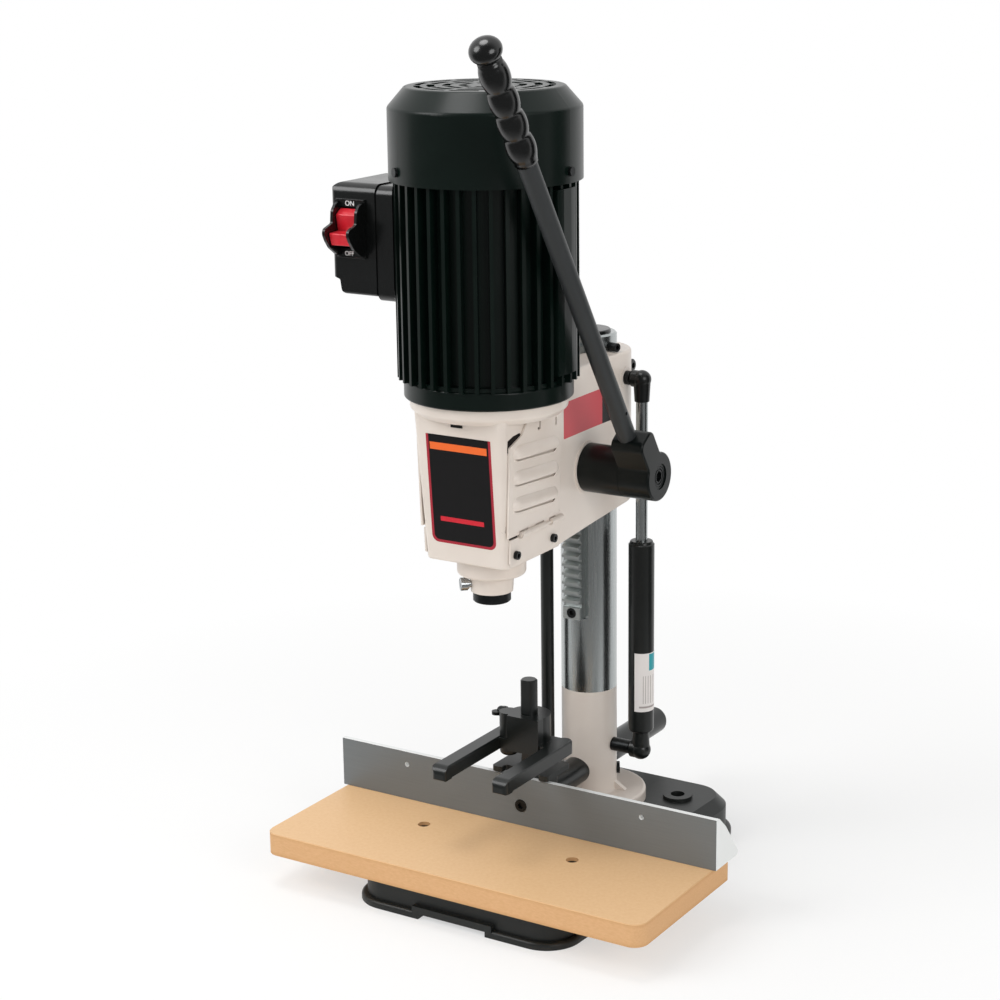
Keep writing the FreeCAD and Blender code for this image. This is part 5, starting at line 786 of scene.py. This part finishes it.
floor_paint = bpy.data.materials.new("White studio floor")
floor_paint.use_nodes = True
tree = floor_paint.node_tree
tree.nodes.clear()
place = add(tree, "TexCoord").outputs["Object"]
reach = add(tree, "VectorMath", {"operation": "LENGTH"}, {0: place})
outer = add(tree, "MapRange", {"From Min": FADE_FROM, "From Max": FADE_TO, "To Min": FADE_FIRST},
            {"Value": reach.outputs["Value"]})
path, seen = straight_rays(tree)
seen = add(tree, "Math", {"operation": "MAXIMUM"}, {0: seen.outputs[0], 1: path.outputs["Is Glossy Ray"]})
glowing = add(tree, "Math", {"operation": "MULTIPLY"}, {0: outer.outputs["Result"], 1: seen.outputs[0]})
toward_room = add(tree, "VectorMath", {"operation": "DOT_PRODUCT", 1: ROOM_SIDE}, {0: place})
dim = add(tree, "MapRange",
          {"From Min": DIM_FROM, "From Max": DIM_TO, "To Min": 1.0, "To Max": ROOM_LEVEL},
          {"Value": toward_room.outputs["Value"]})
level = add(tree, "Mix", {"data_type": "FLOAT", 2: 1.0},
            {0: path.outputs["Is Glossy Ray"], 3: dim.outputs["Result"]})
paint = add(tree, "BsdfDiffuse", {"Color": linear("#F6F6F5")})
glow = add(tree, "Emission", {"Color": (1, 1, 1, 1)}, {"Strength": level.outputs[0]})
both = add(tree, "MixShader", links={0: glowing.outputs[0], 1: paint.outputs[0], 2: glow.outputs[0]})
add(tree, "OutputMaterial", links={"Surface": both.outputs[0]})
floor.data.materials.append(floor_paint)
print("floor:", 2 * FLOOR_HALF, "m across")

# %% [markdown]
# **Lamps and a dark panel.** The overhead lamp is small and bright enough to draw a
# light band on the bevel of the fan's cover. A dark panel stands on the right, out of
# view, because chrome looks like chrome only when it has something dark to mirror.


# %% Lamps and a dark panel
def aim(obj, spot, target):
    """Put an object at a spot, its -Z axis towards the target."""
    direction = Vector(target) - Vector(spot)
    turn = direction.to_track_quat("-Z", "Y").to_matrix().to_4x4()
    obj.matrix_world = Matrix.Translation(spot) @ turn


MIDDLE = Vector((0.0, -0.1, 0.35))
lamps = [("key", (-1.5, -1.9, 2.0), 1.6, 34.0), ("fill", (2.2, -1.2, 1.2), 1.4, 20.0),
         ("top", (-0.3, -0.45, 2.2), 0.9, 13.0)]
for name, spot, size, power in lamps:
    light = bpy.data.lights.new(name, "AREA")
    light.shape = "DISK"
    light.size = size
    light.energy = power
    lamp = bpy.data.objects.new(name, light)
    bpy.context.scene.collection.objects.link(lamp)
    aim(lamp, spot, MIDDLE)

flag_cloth, tree, shader, place = start_finish("Black flag cloth", "#0A0A0A", 0.9)
weave = add(tree, "TexNoise", {"Scale": per_mm(4.0)}, {"Vector": place})
skin = add(tree, "Bump", {"Distance": 0.4 * MM}, {"Height": weave.outputs["Fac"]})
feed(tree, shader, Normal=skin.outputs["Normal"])
FLAG_SPOT, FLAG_WIDTH, FLAG_HEIGHT = (0.451, 0.164, 0.42), 0.3, 0.84
bm = bmesh.new()
bmesh.ops.create_grid(bm, x_segments=1, y_segments=1, size=0.5)
bmesh.ops.scale(bm, vec=(FLAG_WIDTH, FLAG_HEIGHT, 1.0), verts=bm.verts)
mesh = bpy.data.meshes.new("flag")
bm.to_mesh(mesh)
bm.free()
flag = bpy.data.objects.new("flag", mesh)
bpy.context.scene.collection.objects.link(flag)
aim(flag, FLAG_SPOT, (0, 0, FLAG_SPOT[2]))
mesh.materials.append(flag_cloth)
flag.visible_camera = False
flag.visible_diffuse = False
flag.visible_shadow = False
print("lamps:", [name for name, *_ in lamps], "panel:", flag.name)

# %% [markdown]
# **Camera.** It looks down a little from the front right, through a long lens that
# keeps the upright edges nearly parallel.

# %% Camera
LENS_MM, SENSOR_MM = 82.27, 36.0
EYE = Vector((0.93546, -1.62620, 0.81128))
TARGET = Vector((-0.0890, 0.0, 0.2922))
ROLL = math.radians(-0.77)
ahead = (TARGET - EYE).normalized()
right = ahead.cross(Vector((0, 0, 1))).normalized()
above = right.cross(ahead)
rolled_right = right * math.cos(ROLL) + above * math.sin(ROLL)
rolled_up = above * math.cos(ROLL) - right * math.sin(ROLL)
lens = bpy.data.cameras.new("camera")
lens.sensor_width = SENSOR_MM
lens.lens = LENS_MM
camera = bpy.data.objects.new("camera", lens)
bpy.context.scene.collection.objects.link(camera)
turn = Matrix((rolled_right, rolled_up, -ahead)).transposed().to_4x4()
camera.matrix_world = Matrix.Translation(EYE) @ turn
bpy.context.scene.camera = camera
print("camera", [round(v, 3) for v in EYE], "lens", LENS_MM, "mm")
